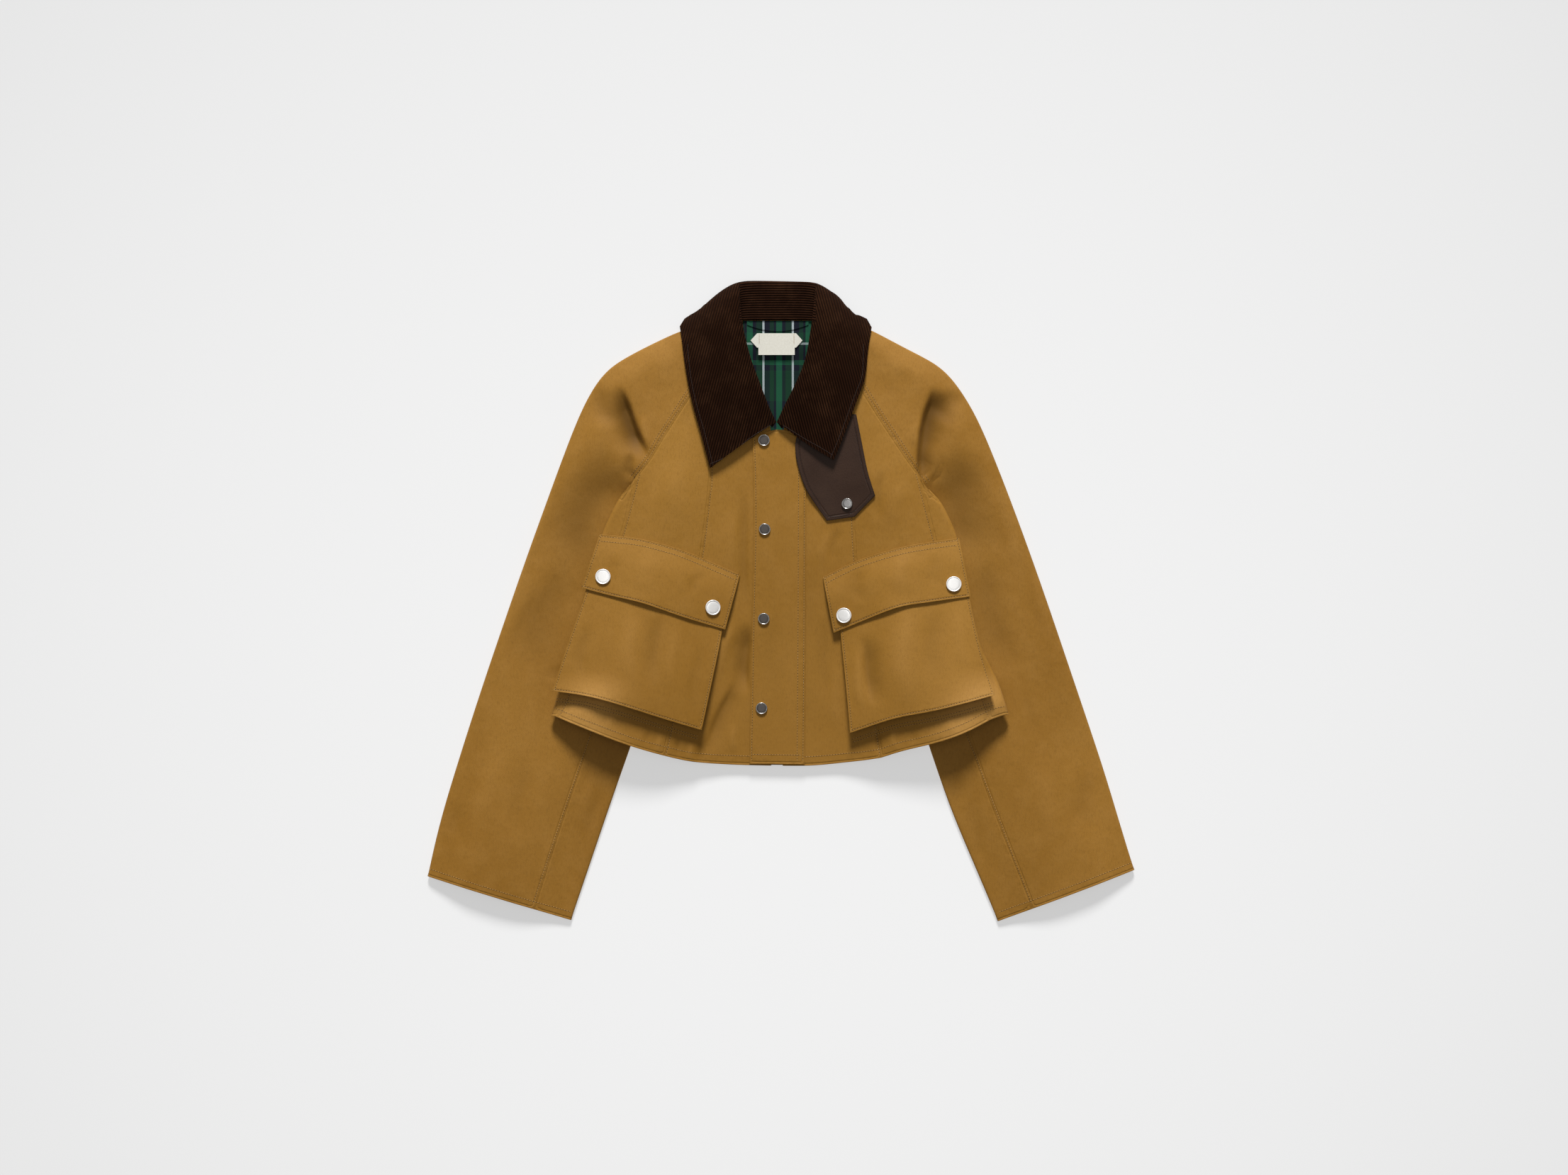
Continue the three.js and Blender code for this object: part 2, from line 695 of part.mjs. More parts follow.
// Bellows pockets: a face that stands off the front, a gusset round three sides, a flap over the top.
// Columns of each border: x, y
const POCKETS = {
  left: {
    faceTop: [[-236, 52], [-70, 12]],
    faceStart: [[-236, 52], [-240.1, 14.3], [-262, -50], [-281.4, -109.8]],
    faceBottom: [[-281.4, -109.8], [-239.5, -115.1], [-199.1, -126.1], [-145.3, -143.6], [-98.4, -158.2]],
    faceEnd: [[-70, 12], [-73.1, -35.9], [-86, -100], [-98.4, -158.2]],
    flapTop: [[-224, 83.2], [-185.7, 79.5], [-161.1, 75], [-126.7, 65.3], [-98.4, 54.2], [-51, 33.6]],
    flapStart: [[-224, 83.2], [-245.8, 17.4]],
    flapBottom: [[-245.8, 17.4], [-207.5, 7.2], [-172.3, -0.7], [-137.1, -13], [-104.9, -23.6], [-69.3, -34]],
    flapEnd: [[-51, 33.6], [-69.3, -34]],
    snaps: { outer: [-219.6, 31.2], inner: [-84.4, -6.9] },
  },
  right: {
    faceTop: [[73, 8], [226, 52]],
    faceStart: [[73, 8], [73.8, -36.8], [77.2, -69.1], [82, -118.2], [85.5, -161.7]],
    faceBottom: [[85.5, -161.7], [114.6, -151.7], [142.7, -142.4], [194.7, -132.4], [263, -114.2]],
    faceEnd: [[226, 52], [232.1, 5.7], [246.2, -58.8], [263, -114.2]],
    flapTop: [[52.1, 30.3], [91.3, 49.6], [140.1, 65.3], [178.8, 72.9], [219.9, 78.5]],
    flapStart: [[52.1, 30.3], [59.1, -6.9], [65.3, -38.1]],
    flapBottom: [[65.3, -38.1], [96.5, -25.3], [142.7, -6.9], [178.8, -0.7], [233.8, 6.8]],
    flapEnd: [[219.9, 78.5], [233.8, 6.8]],
    snaps: { outer: [213.1, 22], inner: [77.9, -16.7] },
  },
};
const FACE_TOP_RISE = 4;
const FACE_BOTTOM_RISE = 14;
const GUSSET_INSET = 3;
const GUSSET_SPREAD = 5;
const GUSSET_PLEAT = 3;
const FLAP_WAVE = 2.4;

function pocketFlat(pocket) {
  const { faceTop, faceBottom, faceStart, faceEnd } = pocket;
  return patch(alongCurve(faceTop), alongCurve(faceBottom), alongCurve(faceStart), alongCurve(faceEnd));
}
// How far the face stands off the front, by its share of the way down
const faceRise = (v) => mix(FACE_TOP_RISE, FACE_BOTTOM_RISE, smooth(v));
function faceHeight(x, y, v) {
  return frontHeight(x, y) + faceRise(v);
}
// A side's front stops at its fold: past that line the pocket keeps the fold's height
function overFold(side, x, y) {
  const limit = Math.abs(side.foldX(Math.min(y, side.underarm[1]))) - 4;
  return [Math.abs(x) > limit ? limit * side.sign : x, y];
}

const GUSSET_CLEARANCE = 4 * SEAM_GAP;
const FLAP_LIFT = 0.8;
const OVER_FLAP = FACE_TOP_RISE + 1.5 * CLOTH + 9 * SEAM_GAP;
function addPocket(side) {
  const name = sideName(side);
  const pocket = POCKETS[name];
  const flat = pocketFlat(pocket);
  const facePoint = (u, v) => {
    const [x, y] = flat(u, v);
    return [x, y, faceHeight(...overFold(side, x, y), v)];
  };
  add(`pocket_face_${name}`, wall(8, 9, facePoint, CLOTH), COTTON);

  // The gusset runs down the start side, along the bottom and up the end side
  const runs = [9, 10, 9];
  const around = runs.reduce((a, b) => a + b);
  const near = 0.035;
  const far = 1 - near;
  const mouth = 0.12;
  const rimAt = (s) => {
    const step = s * around;
    if (step <= runs[0]) return [near, mix(mouth, far, step / runs[0])];
    if (step <= runs[0] + runs[1]) return [mix(near, far, (step - runs[0]) / runs[1]), far];
    return [far, mix(far, mouth, (step - runs[0] - runs[1]) / runs[2])];
  };
  const middle = flat(0.5, 0.5);
  const gussetPoint = (s, depth) => {
    const [u, v] = rimAt(s);
    const [x, y] = flat(u, v);
    const toMiddle = [middle[0] - x, middle[1] - y];
    const length = Math.hypot(...toMiddle);
    const bottomShare = smooth(1 - Math.abs(s - 0.5) / 0.3);
    const pleat = GUSSET_PLEAT * Math.sin(Math.PI * depth) * v;
    const inward = mix(0, -GUSSET_SPREAD * bottomShare, depth) + pleat;
    const px = x + (toMiddle[0] / length) * inward;
    const py = y + (toMiddle[1] / length) * inward;
    const top = faceHeight(...overFold(side, x, y), v) - CLOTH / 2 - GUSSET_CLEARANCE;
    const base = frontHeight(...overFold(side, px, py)) + CLOTH / 2 + GUSSET_CLEARANCE;
    return [px, py, mix(top, base, depth)];
  };
  add(`pocket_gusset_${name}`, wall(3, around, gussetPoint, CLOTH), COTTON);

  const flapFlat = patch(
    alongCurve(pocket.flapTop), alongCurve(pocket.flapBottom),
    alongCurve(pocket.flapStart), alongCurve(pocket.flapEnd),
  );
  const flapPoint = (u, v) => {
    const [x, y] = flapFlat(u, v);
    const onFront = OVER_FRONT;
    const onFace = FACE_TOP_RISE + CLOTH + 5 * SEAM_GAP;
    const bulge = Math.sin(Math.PI * u) ** 2 * (0.6 + 0.4 * Math.cos(5 * Math.PI * u));
    const wave = FLAP_WAVE * bulge * v ** 3;
    const below = frontHeight(...overFold(side, x, y));
    return [x, y, below + mix(onFront, onFace, smooth(v / 0.35)) + wave + FLAP_LIFT * v];
  };
  add(`pocket_flap_${name}`, wall(5, 12, flapPoint, CLOTH), COTTON);
  for (const [place, [x, y]] of Object.entries(pocket.snaps)) {
    const height = (px, py) => frontHeight(...overFold(side, px, py)) + OVER_FLAP;
    addSnap(`flap_snap_${name}_${place}`, x, y, height, FLAP_SNAP, PALE_METAL);
  }
}

// A snap cap: a low domed button, turned to lie on the cloth below it
function addSnap(name, x, y, heightAt, diameter, look) {
  const radius = diameter / 2;
  const profile = [
    [0, 0],
    [radius - 0.6, 0],
    [radius, 0.7],
    [radius - 0.5, 1.7],
    [radius * 0.62, 2.3],
    [0, 2.5],
  ].map(([r, h]) => new THREE.Vector2(r, h));
  const geometry = new THREE.LatheGeometry(profile, 18);
  const reach = radius;
  const slopeX = (heightAt(x + reach, y) - heightAt(x - reach, y)) / (2 * reach);
  const slopeY = (heightAt(x, y + reach) - heightAt(x, y - reach)) / (2 * reach);
  const normal = new THREE.Vector3(-slopeX, -slopeY, 1).normalize();
  const mesh = add(name, geometry, look);
  mesh.quaternion.setFromUnitVectors(new THREE.Vector3(0, 1, 0), normal);
  mesh.position.set(x, y, heightAt(x, y) + SNAP_RISE);
}
// Columns: x, y
const PLACKET_SNAPS = [
  [-21.1, 200.1],
  [-20.2, 89.9],
  [-21.4, -20.9],
  [-24.1, -131.8],
];
const TAB_SNAP_PLACE = [81.8, 121.6];

// Leather throat tab, laid on the right front and running up under the collar
const TAB_START = [[34, 232], [19, 205], [18.4, 179.1], [28.3, 144.9], [40.7, 123.4], [56.9, 100.5]];
const TAB_END = [[93, 232], [100.1, 195.5], [107.3, 159.5], [116.3, 131.3]];
const TAB_BOTTOM = [[56.9, 100.5], [90.8, 105.4], [116.3, 131.3]];
const TAB_TOP = [[34, 232], [93, 232]];
const OVER_TAB = CLOTH / 2 + SEAM_GAP + LEATHER / 2 + 0.2;
function addTab() {
  const bottom = (t) => {
    const turn = 0.6;
    const [a, b, c] = TAB_BOTTOM;
    return t < turn
      ? [mix(a[0], b[0], t / turn), mix(a[1], b[1], t / turn)]
      : [mix(b[0], c[0], (t - turn) / (1 - turn)), mix(b[1], c[1], (t - turn) / (1 - turn))];
  };
  const flat = patch(alongCurve(TAB_TOP), bottom, alongCurve(TAB_START), alongCurve(TAB_END));
  const lifted = (x, y) => frontHeight(x, y) + OVER_TAB + overPlacket(x);
  const pointAt = (u, v) => {
    const [x, y] = flat(u, v);
    return [x, y, lifted(x, y)];
  };
  add("throat_tab", wall(12, 5, pointAt, LEATHER), HIDE);
  const onTab = (x, y) => lifted(x, y) + LEATHER / 2 + SEAM_GAP;
  addSnap("tab_snap", ...TAB_SNAP_PLACE, onTab, TAB_SNAP, PALE_METAL);
}
// Where the tab lies on the placket it is raised by the placket's thickness
function overPlacket(x) {
  return 1.2 * OVER_FRONT * smooth((46 - x) / 12);
}

// Corduroy collar. Stations run from the left front end round the neck to the right front end.
// Columns: neck seam x, y, height; roll line x, y, height; middle x, y, height; outer edge x, y, height
const COLLAR_STATIONS = [
  [-11, 216, 19, -7, 221.5, 22, -42, 199, 23, -87.8, 165.3, 23],
  [-20, 240, 19, -18.3, 245.7, 27, -56, 221, 27, -93.5, 188, 23.5],
  [-31, 266, 19, -27, 270, 30, -64, 244, 28, -99.5, 211, 23.5],
  [-41, 292, 19, -36.8, 294.1, 32, -74, 270, 29, -108, 240, 23],
  [-49, 316, 19, -44, 320, 33, -81, 297, 28, -115, 272, 22],
  [-55, 331, 18.5, -50, 348.7, 32, -86, 327, 27, -120, 304, 19],
  [-57, 338, 18, -51.5, 366, 29, -90, 344, 25, -122, 324, 17.5],
  [-57, 344, 16, -53, 381, 26, -93, 361, 17, -124, 345, 8],
  [-56, 347, 15, -53.5, 387, 22, -94, 368, 11, -112, 352, 2.5],
  [-55, 348.6, 14, -53, 391, 19, -90, 370, 6, -90, 330, 1.6],
  [-48, 349.8, 10, -47, 395, 16, -66, 386, 6, -66, 328, 1.6],
  [-30, 349.8, 9, -32, 396, 13, -33, 391, 3, -32, 328, 1.6],
  [-4, 349.8, 9, -4, 395.7, 12.5, -4, 391, 3, -4, 328, 1.6],
  [22, 349.8, 9, 24, 395, 13, 25, 390, 3, 24, 328, 1.6],
  [39, 349.8, 10, 38, 394, 16, 56, 383, 6, 56, 328, 1.6],
  [47, 348.6, 14, 44, 391, 19, 79, 368, 5.5, 80, 330, 1.6],
  [48, 347, 15, 44.2, 387, 22, 82, 364, 10.5, 99, 352, 2.3],
  [49, 344, 16, 43.5, 380, 26, 80, 358, 17, 111, 344, 8],
  [49, 338, 18, 42, 366, 29, 77, 341, 25, 108.5, 322, 17.5],
  [47, 331, 18.5, 40.2, 349.5, 32, 74, 326, 27, 106, 302, 19],
  [42, 316, 19, 35.5, 320, 33, 71, 295, 28.5, 104.5, 278, 22],
  [34, 292, 19, 30.1, 294.1, 32, 64, 268, 29, 97, 258, 23],
  [23, 266, 19, 18.5, 268, 30, 54, 242, 28.5, 89.1, 236.9, 23.5],
  [11, 240, 19, 7, 245, 27, 42, 219, 27.5, 77, 204, 24],
  [1, 214.5, 19, -4, 221.5, 22, 28, 198, 24, 64.9, 175.3, 24],
];
function addCollar() {
  const lineAt = (column) => {
    const points = COLLAR_STATIONS.map((row) => new THREE.Vector3(...row.slice(column, column + 3)));
    return new THREE.CatmullRomCurve3(points);
  };
  const lines = [0, 3, 6, 9].map(lineAt);
  const shares = [0, 0.12, 0.24, 0.32, 0.37, 0.42, 0.5, 0.6, 0.68, 0.74, 0.82, 0.91, 1];
  const columns = shares.length - 1;
  const pointAt = (u, v) => {
    const [neck, roll, middle, edge] = lines.map((line) => line.getPoint(v));
    const path = new THREE.CatmullRomCurve3([neck, roll, middle, edge], false, "centripetal");
    const point = path.getPoint(shares[Math.round(u * columns)]);
    return [point.x, point.y, Math.max(point.z, CORDUROY / 2)];
  };
  add("collar", wall(32, columns, pointAt, CORDUROY), WALE);
}

// Checked lining on the back, only as far as it shows inside the neck
const LINING_TOP = [[-47, 348.5], [38, 348.5]];
const LINING_BOTTOM = [[-26, 205], [14, 205]];
const OVER_BACK = CLOTH / 2 + SEAM_GAP + LINING / 2 + 0.2;
const liningHeight = (x, y) => restHeight(x, y) + OVER_BACK + 1.4 * smooth((y - 268) / 20);
function addLining() {
  const flat = patch(
    alongCurve(LINING_TOP), alongCurve(LINING_BOTTOM),
    alongCurve([LINING_TOP[0], [-48, 290], LINING_BOTTOM[0]]),
    alongCurve([LINING_TOP[1], [40, 290], LINING_BOTTOM[1]]),
  );
  const pointAt = (u, v) => {
    const [x, y] = flat(u, v);
    return [x, y, liningHeight(x, y)];
  };
  add("back_lining", wall(12, 4, pointAt, LINING), CHECK);
}

// Two blank labels sewn as one piece: a long hexagon with a plain tab below it. Columns: x, y
const LABEL_OUTLINE = [
  [-37.7, 324],
  [-29.7, 315.2],
  [-28, 315.2],
  [-28, 306],
  [17, 306],
  [17, 315.2],
  [18.7, 315.2],
  [26.6, 324],
  [18.7, 332.8],
  [-29.7, 332.8],
];
function addLabel() {
  const shape = new THREE.Shape(LABEL_OUTLINE.map(([x, y]) => new THREE.Vector2(x, y)));
  const geometry = new THREE.ExtrudeGeometry(shape, { depth: LABEL, bevelEnabled: false });
  const mesh = add("neck_label", geometry, TAPE);
  mesh.position.z = liningHeight(-5, 332.8) + LINING / 2 + SEAM_GAP;
}

// Hanger loop: a narrow tape that bows down between its two sewn ends under the stand
function addLoop() {
  const halfSpan = 38;
  const middleX = -4;
  const top = 345.5;
  const sag = 8;
  const width = 4;
  const pointAt = (u, v) => {
    const t = v * 2 - 1;
    const x = middleX + halfSpan * t;
    const y = top - sag * (1 - t * t) + width * (u - 0.5);
    return [x, y, liningHeight(x, y) + LINING / 2 + LABEL / 2 + SEAM_GAP + 0.1];
  };
  add("hanger_loop", wall(14, 1, pointAt, LABEL), CHECK);
}

addBack();
for (const side of [LEFT, RIGHT]) {
  const { seam } = addFronts(side);
  addSide(side, seam);
  addSleeve(side);
  addPocket(side);
}
addPlacket();
PLACKET_SNAPS.forEach(([x, y], i) => {
  const height = (px, py) => frontHeight(px, py) + OVER_FRONT + CLOTH / 2;
  addSnap(`placket_snap_${i + 1}`, x, y, height, PLACKET_SNAP, DARK_METAL);
});
addTab();
addCollar();
addLining();
addLabel();
addLoop();

// The part's origin is at the middle of its footprint, on the surface
const box = new THREE.Box3().setFromObject(group);
const centre = box.getCenter(new THREE.Vector3());
group.position.set(-centre.x, -centre.y, -box.min.z);
group.updateMatrixWorld(true);

export default group;
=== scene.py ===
# Cropped raglan jacket of tan waxed cotton, laid flat on a pale floor and seen from straight above.
import math

import bmesh
import bpy
import numpy as np
from mathutils import Matrix, Vector, noise
from mathutils.bvhtree import BVHTree
from mathutils.kdtree import KDTree


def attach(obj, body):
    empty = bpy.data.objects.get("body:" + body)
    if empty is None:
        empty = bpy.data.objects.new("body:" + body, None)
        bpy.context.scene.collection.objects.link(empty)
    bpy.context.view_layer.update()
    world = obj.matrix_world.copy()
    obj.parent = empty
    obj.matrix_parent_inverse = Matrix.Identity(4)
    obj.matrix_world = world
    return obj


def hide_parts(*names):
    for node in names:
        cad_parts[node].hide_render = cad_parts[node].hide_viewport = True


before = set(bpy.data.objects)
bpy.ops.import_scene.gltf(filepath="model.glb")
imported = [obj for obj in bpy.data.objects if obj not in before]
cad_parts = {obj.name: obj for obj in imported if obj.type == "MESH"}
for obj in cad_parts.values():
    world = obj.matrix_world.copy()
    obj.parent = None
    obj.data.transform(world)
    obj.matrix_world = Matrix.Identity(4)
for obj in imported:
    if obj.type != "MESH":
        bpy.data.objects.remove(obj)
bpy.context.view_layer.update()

MM = 0.001
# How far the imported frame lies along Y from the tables' own middle, in millimetres
Y_SHIFT = -0.88
SIDES = ("left", "right")

# Sewing sizes in millimetres
STITCH_PITCH = 3.4
STITCH_LENGTH = 2.5
STITCH_WIDTH = 0.62
STITCH_RISE = 0.12
HEAVY_STITCH = 0.66

# Creases sway from side to side along their length and fade out towards both ends, as shares of their width
# and length. A crease may press its layer down by a share of the height below it.
CREASE_SWAY = 0.25
CREASE_WAVES = 8.0
CREASE_FADE = 0.38
KEPT_SHARE = 0.7
CREASE_REACH = 3

# The slow unevenness of lying cloth and of the collar, and the height up to which cloth rests on the floor,
# all in millimetres
RIPPLE_SIZE = 70.0
RIPPLE_DEPTH = 0.5
RIPPLE_SLICE = 0.37
COLLAR_RIPPLE_SIZE = 45.0
COLLAR_RIPPLE_DEPTH = 0.4
RESTING_HEIGHT = 2.6
COLLAR_RESTING_HEIGHT = 9
LIFTING_BAND = 3


def smooth_step(t):
    t = min(1.0, max(0.0, t))
    return t * t * (3 - 2 * t)


# Soft creases, listed from the top of the picture down. Columns: start x, y, end x, y, half width
# on the picture's left and on its right, height, all in millimetres. A trough's height is below zero.
BODY_CREASES = [
    (-46, 150, -43, -24, 9, 4, -2.4), (-62, 120, -60, 10, 8, 10, 0.7),
    (-41, -24, -44, -118, 15, 3.6, -6.0), (-52, -88, -97, -192, 5, 13, -3.4),
    (-58, -20, -78, -92, 8, 6, 1.2), (-62, -150, -57, -190, 4, 5, 1.1),
    (-99, -166, -100, -206, 4, 10, -1.8), (-112, -172, -110, -202, 4, 3, 1.3),
    (-128, -162, -126, -198, 5, 3, -1.2), (-149, -158, -150, -194, 4, 3, 1.0),
    (-164, -152, -168, -186, 3, 4, -0.9), (-206, -128, -212, -166, 8, 6, 0.8),
    (-108, 262, -122, 204, 8, 10, -0.8), (-140, 176, -120, 96, 14, 12, 0.9),
    (-18, 150, -14, 20, 10, 12, 0.6), (-10, -10, -16, -120, 12, 8, -0.7),
    (10, -60, 14, -180, 8, 9, 0.6), (38, 60, 36, -70, 5, 8, -0.8),
    (56, 92, 50, 42, 7, 6, 0.8), (71, 98, 62, 46, 5, 6, -1.2),
    (124, 170, 118, 96, 7, 5, -1.6), (146, 150, 136, 92, 10, 9, 0.8),
    (50, -14, 58, -134, 9, 7, -1.1), (66, -60, 70, -176, 6, 6, 0.9),
    (117, -150, 124, -194, 4, 5, -1.6), (134, -146, 141, -190, 4, 5, 1.2),
    (160, -140, 168, -182, 5, 5, -0.7), (206, -130, 212, -166, 8, 6, 0.7),
    (-252, -84, -236, -222, 36, 40, 9.0), (250, -80, 240, -220, 40, 34, 9.0),
]
ARMHOLE_CREASES = [
    (-204, 270, -164, 172, 19, 4.2, -11.0), (-188, 186, -185, 148, 8, 4, -3.0),
    (-175, 236, -164, 186, 4, 7, 1.6), (190, 268, 172, 190, 4.2, 19, -10.5),
    (174, 218, 173, 146, 3.6, 15, -8.5), (176, 236, 164, 186, 8, 4, 1.6),
]
SLEEVE_CREASES = [
    (-234, 268, -206, 214, 13, 10, -2.4), (-216, 196, -262, 24, 34, 24, -4.6),
    (-262, 66, -332, -98, 14, 30, -2.8), (-270, 196, -356, -64, 10, 11, 1.5),
    (-300, 30, -344, -92, 8, 7, -1.3), (-293, -92, -262, -84, 5, 4, -1.6),
    (-318, -192, -330, -304, 11, 10, -1.0), (-350, -176, -372, -286, 12, 12, 0.8),
    (-404, -250, -402, -300, 9, 8, -1.0), (-234, -214, -247, -268, 4, 4, 1.2),
    (-226, -232, -242, -300, 6, 6, -1.3), (-276, -270, -296, -352, 6, 5, 0.6),
    (-150, 306, -136, 262, 14, 16, 0.7), (212, 268, 200, 216, 12, 14, -2.4),
    (204, 190, 244, 40, 22, 34, -4.6), (236, 64, 288, -96, 26, 16, -2.8),
    (246, 200, 346, -74, 12, 10, 1.3), (296, 60, 330, -60, 7, 8, -1.1),
    (371, -204, 379, -292, 15, 14, -1.5), (318, -190, 336, -300, 12, 14, 0.9),
    (300, -112, 318, -170, 7, 6, -0.8), (222, -210, 211, -256, 8, 7, -1.6),
    (246, -232, 262, -300, 5, 5, 0.8), (236, -262, 254, -330, 6, 6, -0.9),
    (150, 306, 132, 262, 16, 14, 0.7),
]
POCKET_CREASES = [
    (-151, -4, -159, -112, 13, 6, -2.2), (-190, -8, -182, -112, 13, 12, 1.6),
    (-240, -22, -247, -98, 10, 8, -1.5), (-130, -18, -136, -120, 8, 8, 1.1),
    (-99, -44, -112, -150, 8, 8, -1.0), (-97, 44, -112, 4, 9, 8, -0.9),
    (-166, 62, -170, 8, 16, 14, 0.7), (-206, 60, -214, 18, 8, 9, -0.6),
    (101, -38, 116, -136, 5, 14, -4.2), (89, -48, 101, -146, 6, 5, 1.4),
    (150, 12, 151, -136, 15, 14, 2.4), (184, -2, 190, -108, 12, 13, -1.6),
    (214, 2, 231, -96, 8, 8, 1.0), (90, 44, 98, -4, 10, 8, -1.2),
    (148, 68, 146, 6, 11, 12, 1.2), (186, 62, 191, 12, 10, 10, -0.9),
]
COLLAR_CREASES = [
    (-84, 330, -92, 250, 12, 10, 1.0), (-70, 262, -62, 204, 8, 9, -1.0),
    (-104, 246, -90, 190, 7, 6, -0.7), (66, 330, 84, 256, 10, 12, 1.0),
    (54, 262, 44, 212, 8, 8, -0.9), (60, 238, 72, 196, 5, 5, 1.0),
]


def crease_height(x, y, creases):
    """The creases' height at a point in millimetres."""
    height = 0.0
    for x0, y0, x1, y1, left, right, rise in creases:
        reach = CREASE_REACH * max(left, right)
        if not min(x0, x1) - reach < x < max(x0, x1) + reach:
            continue
        if not min(y0, y1) - reach < y < max(y0, y1) + reach:
            continue
        length = math.hypot(x1 - x0, y1 - y0)
        along = ((x - x0) * (x1 - x0) + (y - y0) * (y1 - y0)) / length**2
        off = ((x - x0) * (y1 - y0) - (y - y0) * (x1 - x0)) / length
        sway = off + CREASE_SWAY * min(left, right) * math.sin(CREASE_WAVES * along)
        width = left if sway > 0 else right
        ends = smooth_step(along / CREASE_FADE) * smooth_step((1 - along) / CREASE_FADE)
        height += rise * ends * math.exp(-((sway / width) ** 2))
    return height


def ripple(x, y, size=RIPPLE_SIZE, depth=RIPPLE_DEPTH):
    """The slow unevenness of lying cloth at a point, in millimetres."""
    return depth * noise.noise(Vector((x / size, y / size, RIPPLE_SLICE)))


# Pieces

RIM_ANGLE = math.radians(58)
CORNER_TURN = math.radians(24)
SAME_PLACE = 2e-6
JOINED_BEND = math.radians(38)
JOINED_SHAPE = math.radians(60)


def keep_corners(bm, crease):
    """Marks the vertices where a rim turns sharply, so that dividing the faces doesn't round them."""
    corner = bm.verts.layers.float.new("crease_vert")
    for vertex in bm.verts:
        rims = [edge for edge in vertex.link_edges if edge[crease] > 0]
        if len(rims) != 2:
            continue
        one, two = ((edge.other_vert(vertex).co - vertex.co).normalized() for edge in rims)
        if one.length > 0 and two.length > 0 and one.angle(-two) > CORNER_TURN:
            vertex[corner] = 1.0


def fine_copy(node, name, levels):
    """A finer mesh on a node's own form: its triangles joined to quads, its rims kept, its faces divided."""
    obj = bpy.data.objects.new(name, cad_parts[node].data.copy())
    bpy.context.scene.collection.objects.link(obj)
    obj.data.materials.clear()
    bm = bmesh.new()
    bm.from_mesh(obj.data)
    bmesh.ops.remove_doubles(bm, verts=bm.verts, dist=SAME_PLACE)
    bmesh.ops.join_triangles(
        bm, faces=bm.faces, angle_face_threshold=JOINED_BEND, angle_shape_threshold=JOINED_SHAPE
    )
    crease = bm.edges.layers.float.new("crease_edge")
    border = bm.edges.layers.int.new("border")
    for edge in bm.edges:
        if len(edge.link_faces) == 2 and edge.calc_face_angle() > RIM_ANGLE:
            edge[crease] = 1.0
            edge[border] = 1
    keep_corners(bm, crease)
    bm.to_mesh(obj.data)
    bm.free()
    divide = obj.modifiers.new("divide", "SUBSURF")
    divide.levels = levels
    divide.render_levels = levels
    finished = bpy.data.meshes.new_from_object(obj.evaluated_get(bpy.context.evaluated_depsgraph_get()))
    obj.modifiers.clear()
    obj.data = finished
    obj.data.name = name
    for polygon in obj.data.polygons:
        polygon.use_smooth = True
    for edge, mark in zip(obj.data.edges, obj.data.attributes["border"].data):
        edge.use_edge_sharp = bool(mark.value)
    return obj


# A distance for what has no rim, and half a seam's gap, in millimetres. A rim is moved only where it faces
# outward in plan by more than the least share.
FAR_FROM_BORDER = 60.0
SEAM_CLOSING = 0.24
LEAST_OUTWARD = 0.2
LAYER_STRETCH = Matrix.Diagonal((1, 1, 3))


def border_points(mesh):
    """The vertices on a piece's rims."""
    marks = mesh.attributes["border"].data
    return {index for edge, mark in zip(mesh.edges, marks) if mark.value for index in edge.vertices}


def close_seams(obj):
    """Moves a piece's rims outward in plan by half a seam's gap, so that sewn pieces meet."""
    vertices = obj.data.vertices
    outward = {index: Vector((*vertices[index].normal.xy, 0)) for index in border_points(obj.data)}
    for index, way in outward.items():
        if way.length > LEAST_OUTWARD:
            vertices[index].co += way.normalized() * SEAM_CLOSING * MM


# Where a sleeve's wall bends sharply and has no rim. Columns: least x and y, greatest x and y
INNER_BEND = {"sleeve_upper_right_cloth": (186, 141, 201, 177)}


def in_box(place, box):
    x, y = place.x / MM, place.y / MM - Y_SHIFT
    return box[0] < x < box[2] and box[1] < y < box[3]


def measure_border(obj):
    """Each vertex keeps its distance from the rims of its own layer, in millimetres, for its seam's relief.
    Heights are stretched, so that a rim under a layer counts as far away."""
    mesh = obj.data
    ends = border_points(mesh)
    if obj.name in INNER_BEND:
        bend = INNER_BEND[obj.name]
        ends = {index for index in ends if not in_box(mesh.vertices[index].co, bend)}
    tree = KDTree(max(1, len(ends)))
    for index in ends:
        tree.insert(LAYER_STRETCH @ mesh.vertices[index].co, index)
    tree.balance()
    edge_distance = mesh.attributes.new("edge_distance", "FLOAT", "POINT")
    for index, vertex in enumerate(mesh.vertices):
        distance = tree.find(LAYER_STRETCH @ vertex.co)[2] if ends else None
        edge_distance.data[index].value = FAR_FROM_BORDER if distance is None else distance / MM


# Where each upper sleeve is drawn in under the arm. Columns: border x, middle y, reach, pull towards the body
UNDERARM_PULL = {
    "left": [(-190, 153, 12, 11.5), (-166, 173, 9, 0.8)],
    "right": [(185, 149, 12, 12.5), (166, 173, 9, 1.3)],
}
PULL_WIDTH = 26
PULLED_ABOVE = 3.0
PULL_REACH = 3


def draw_in_underarm(obj, side):
    """The upper sleeve's edge is drawn in to the raglan seam's end."""
    toward = 1 if side == "left" else -1
    for border_x, middle_y, reach, pull in UNDERARM_PULL[side]:
        for vertex in obj.data.vertices:
            x, y, z = (value / MM for value in vertex.co)
            near = smooth_step(1 + toward * (x - border_x) / PULL_WIDTH)
            away = (y - Y_SHIFT - middle_y) / reach
            if near > 0 and abs(away) < PULL_REACH and z > PULLED_ABOVE:
                vertex.co.x += toward * pull * near * math.exp(-away * away) * MM


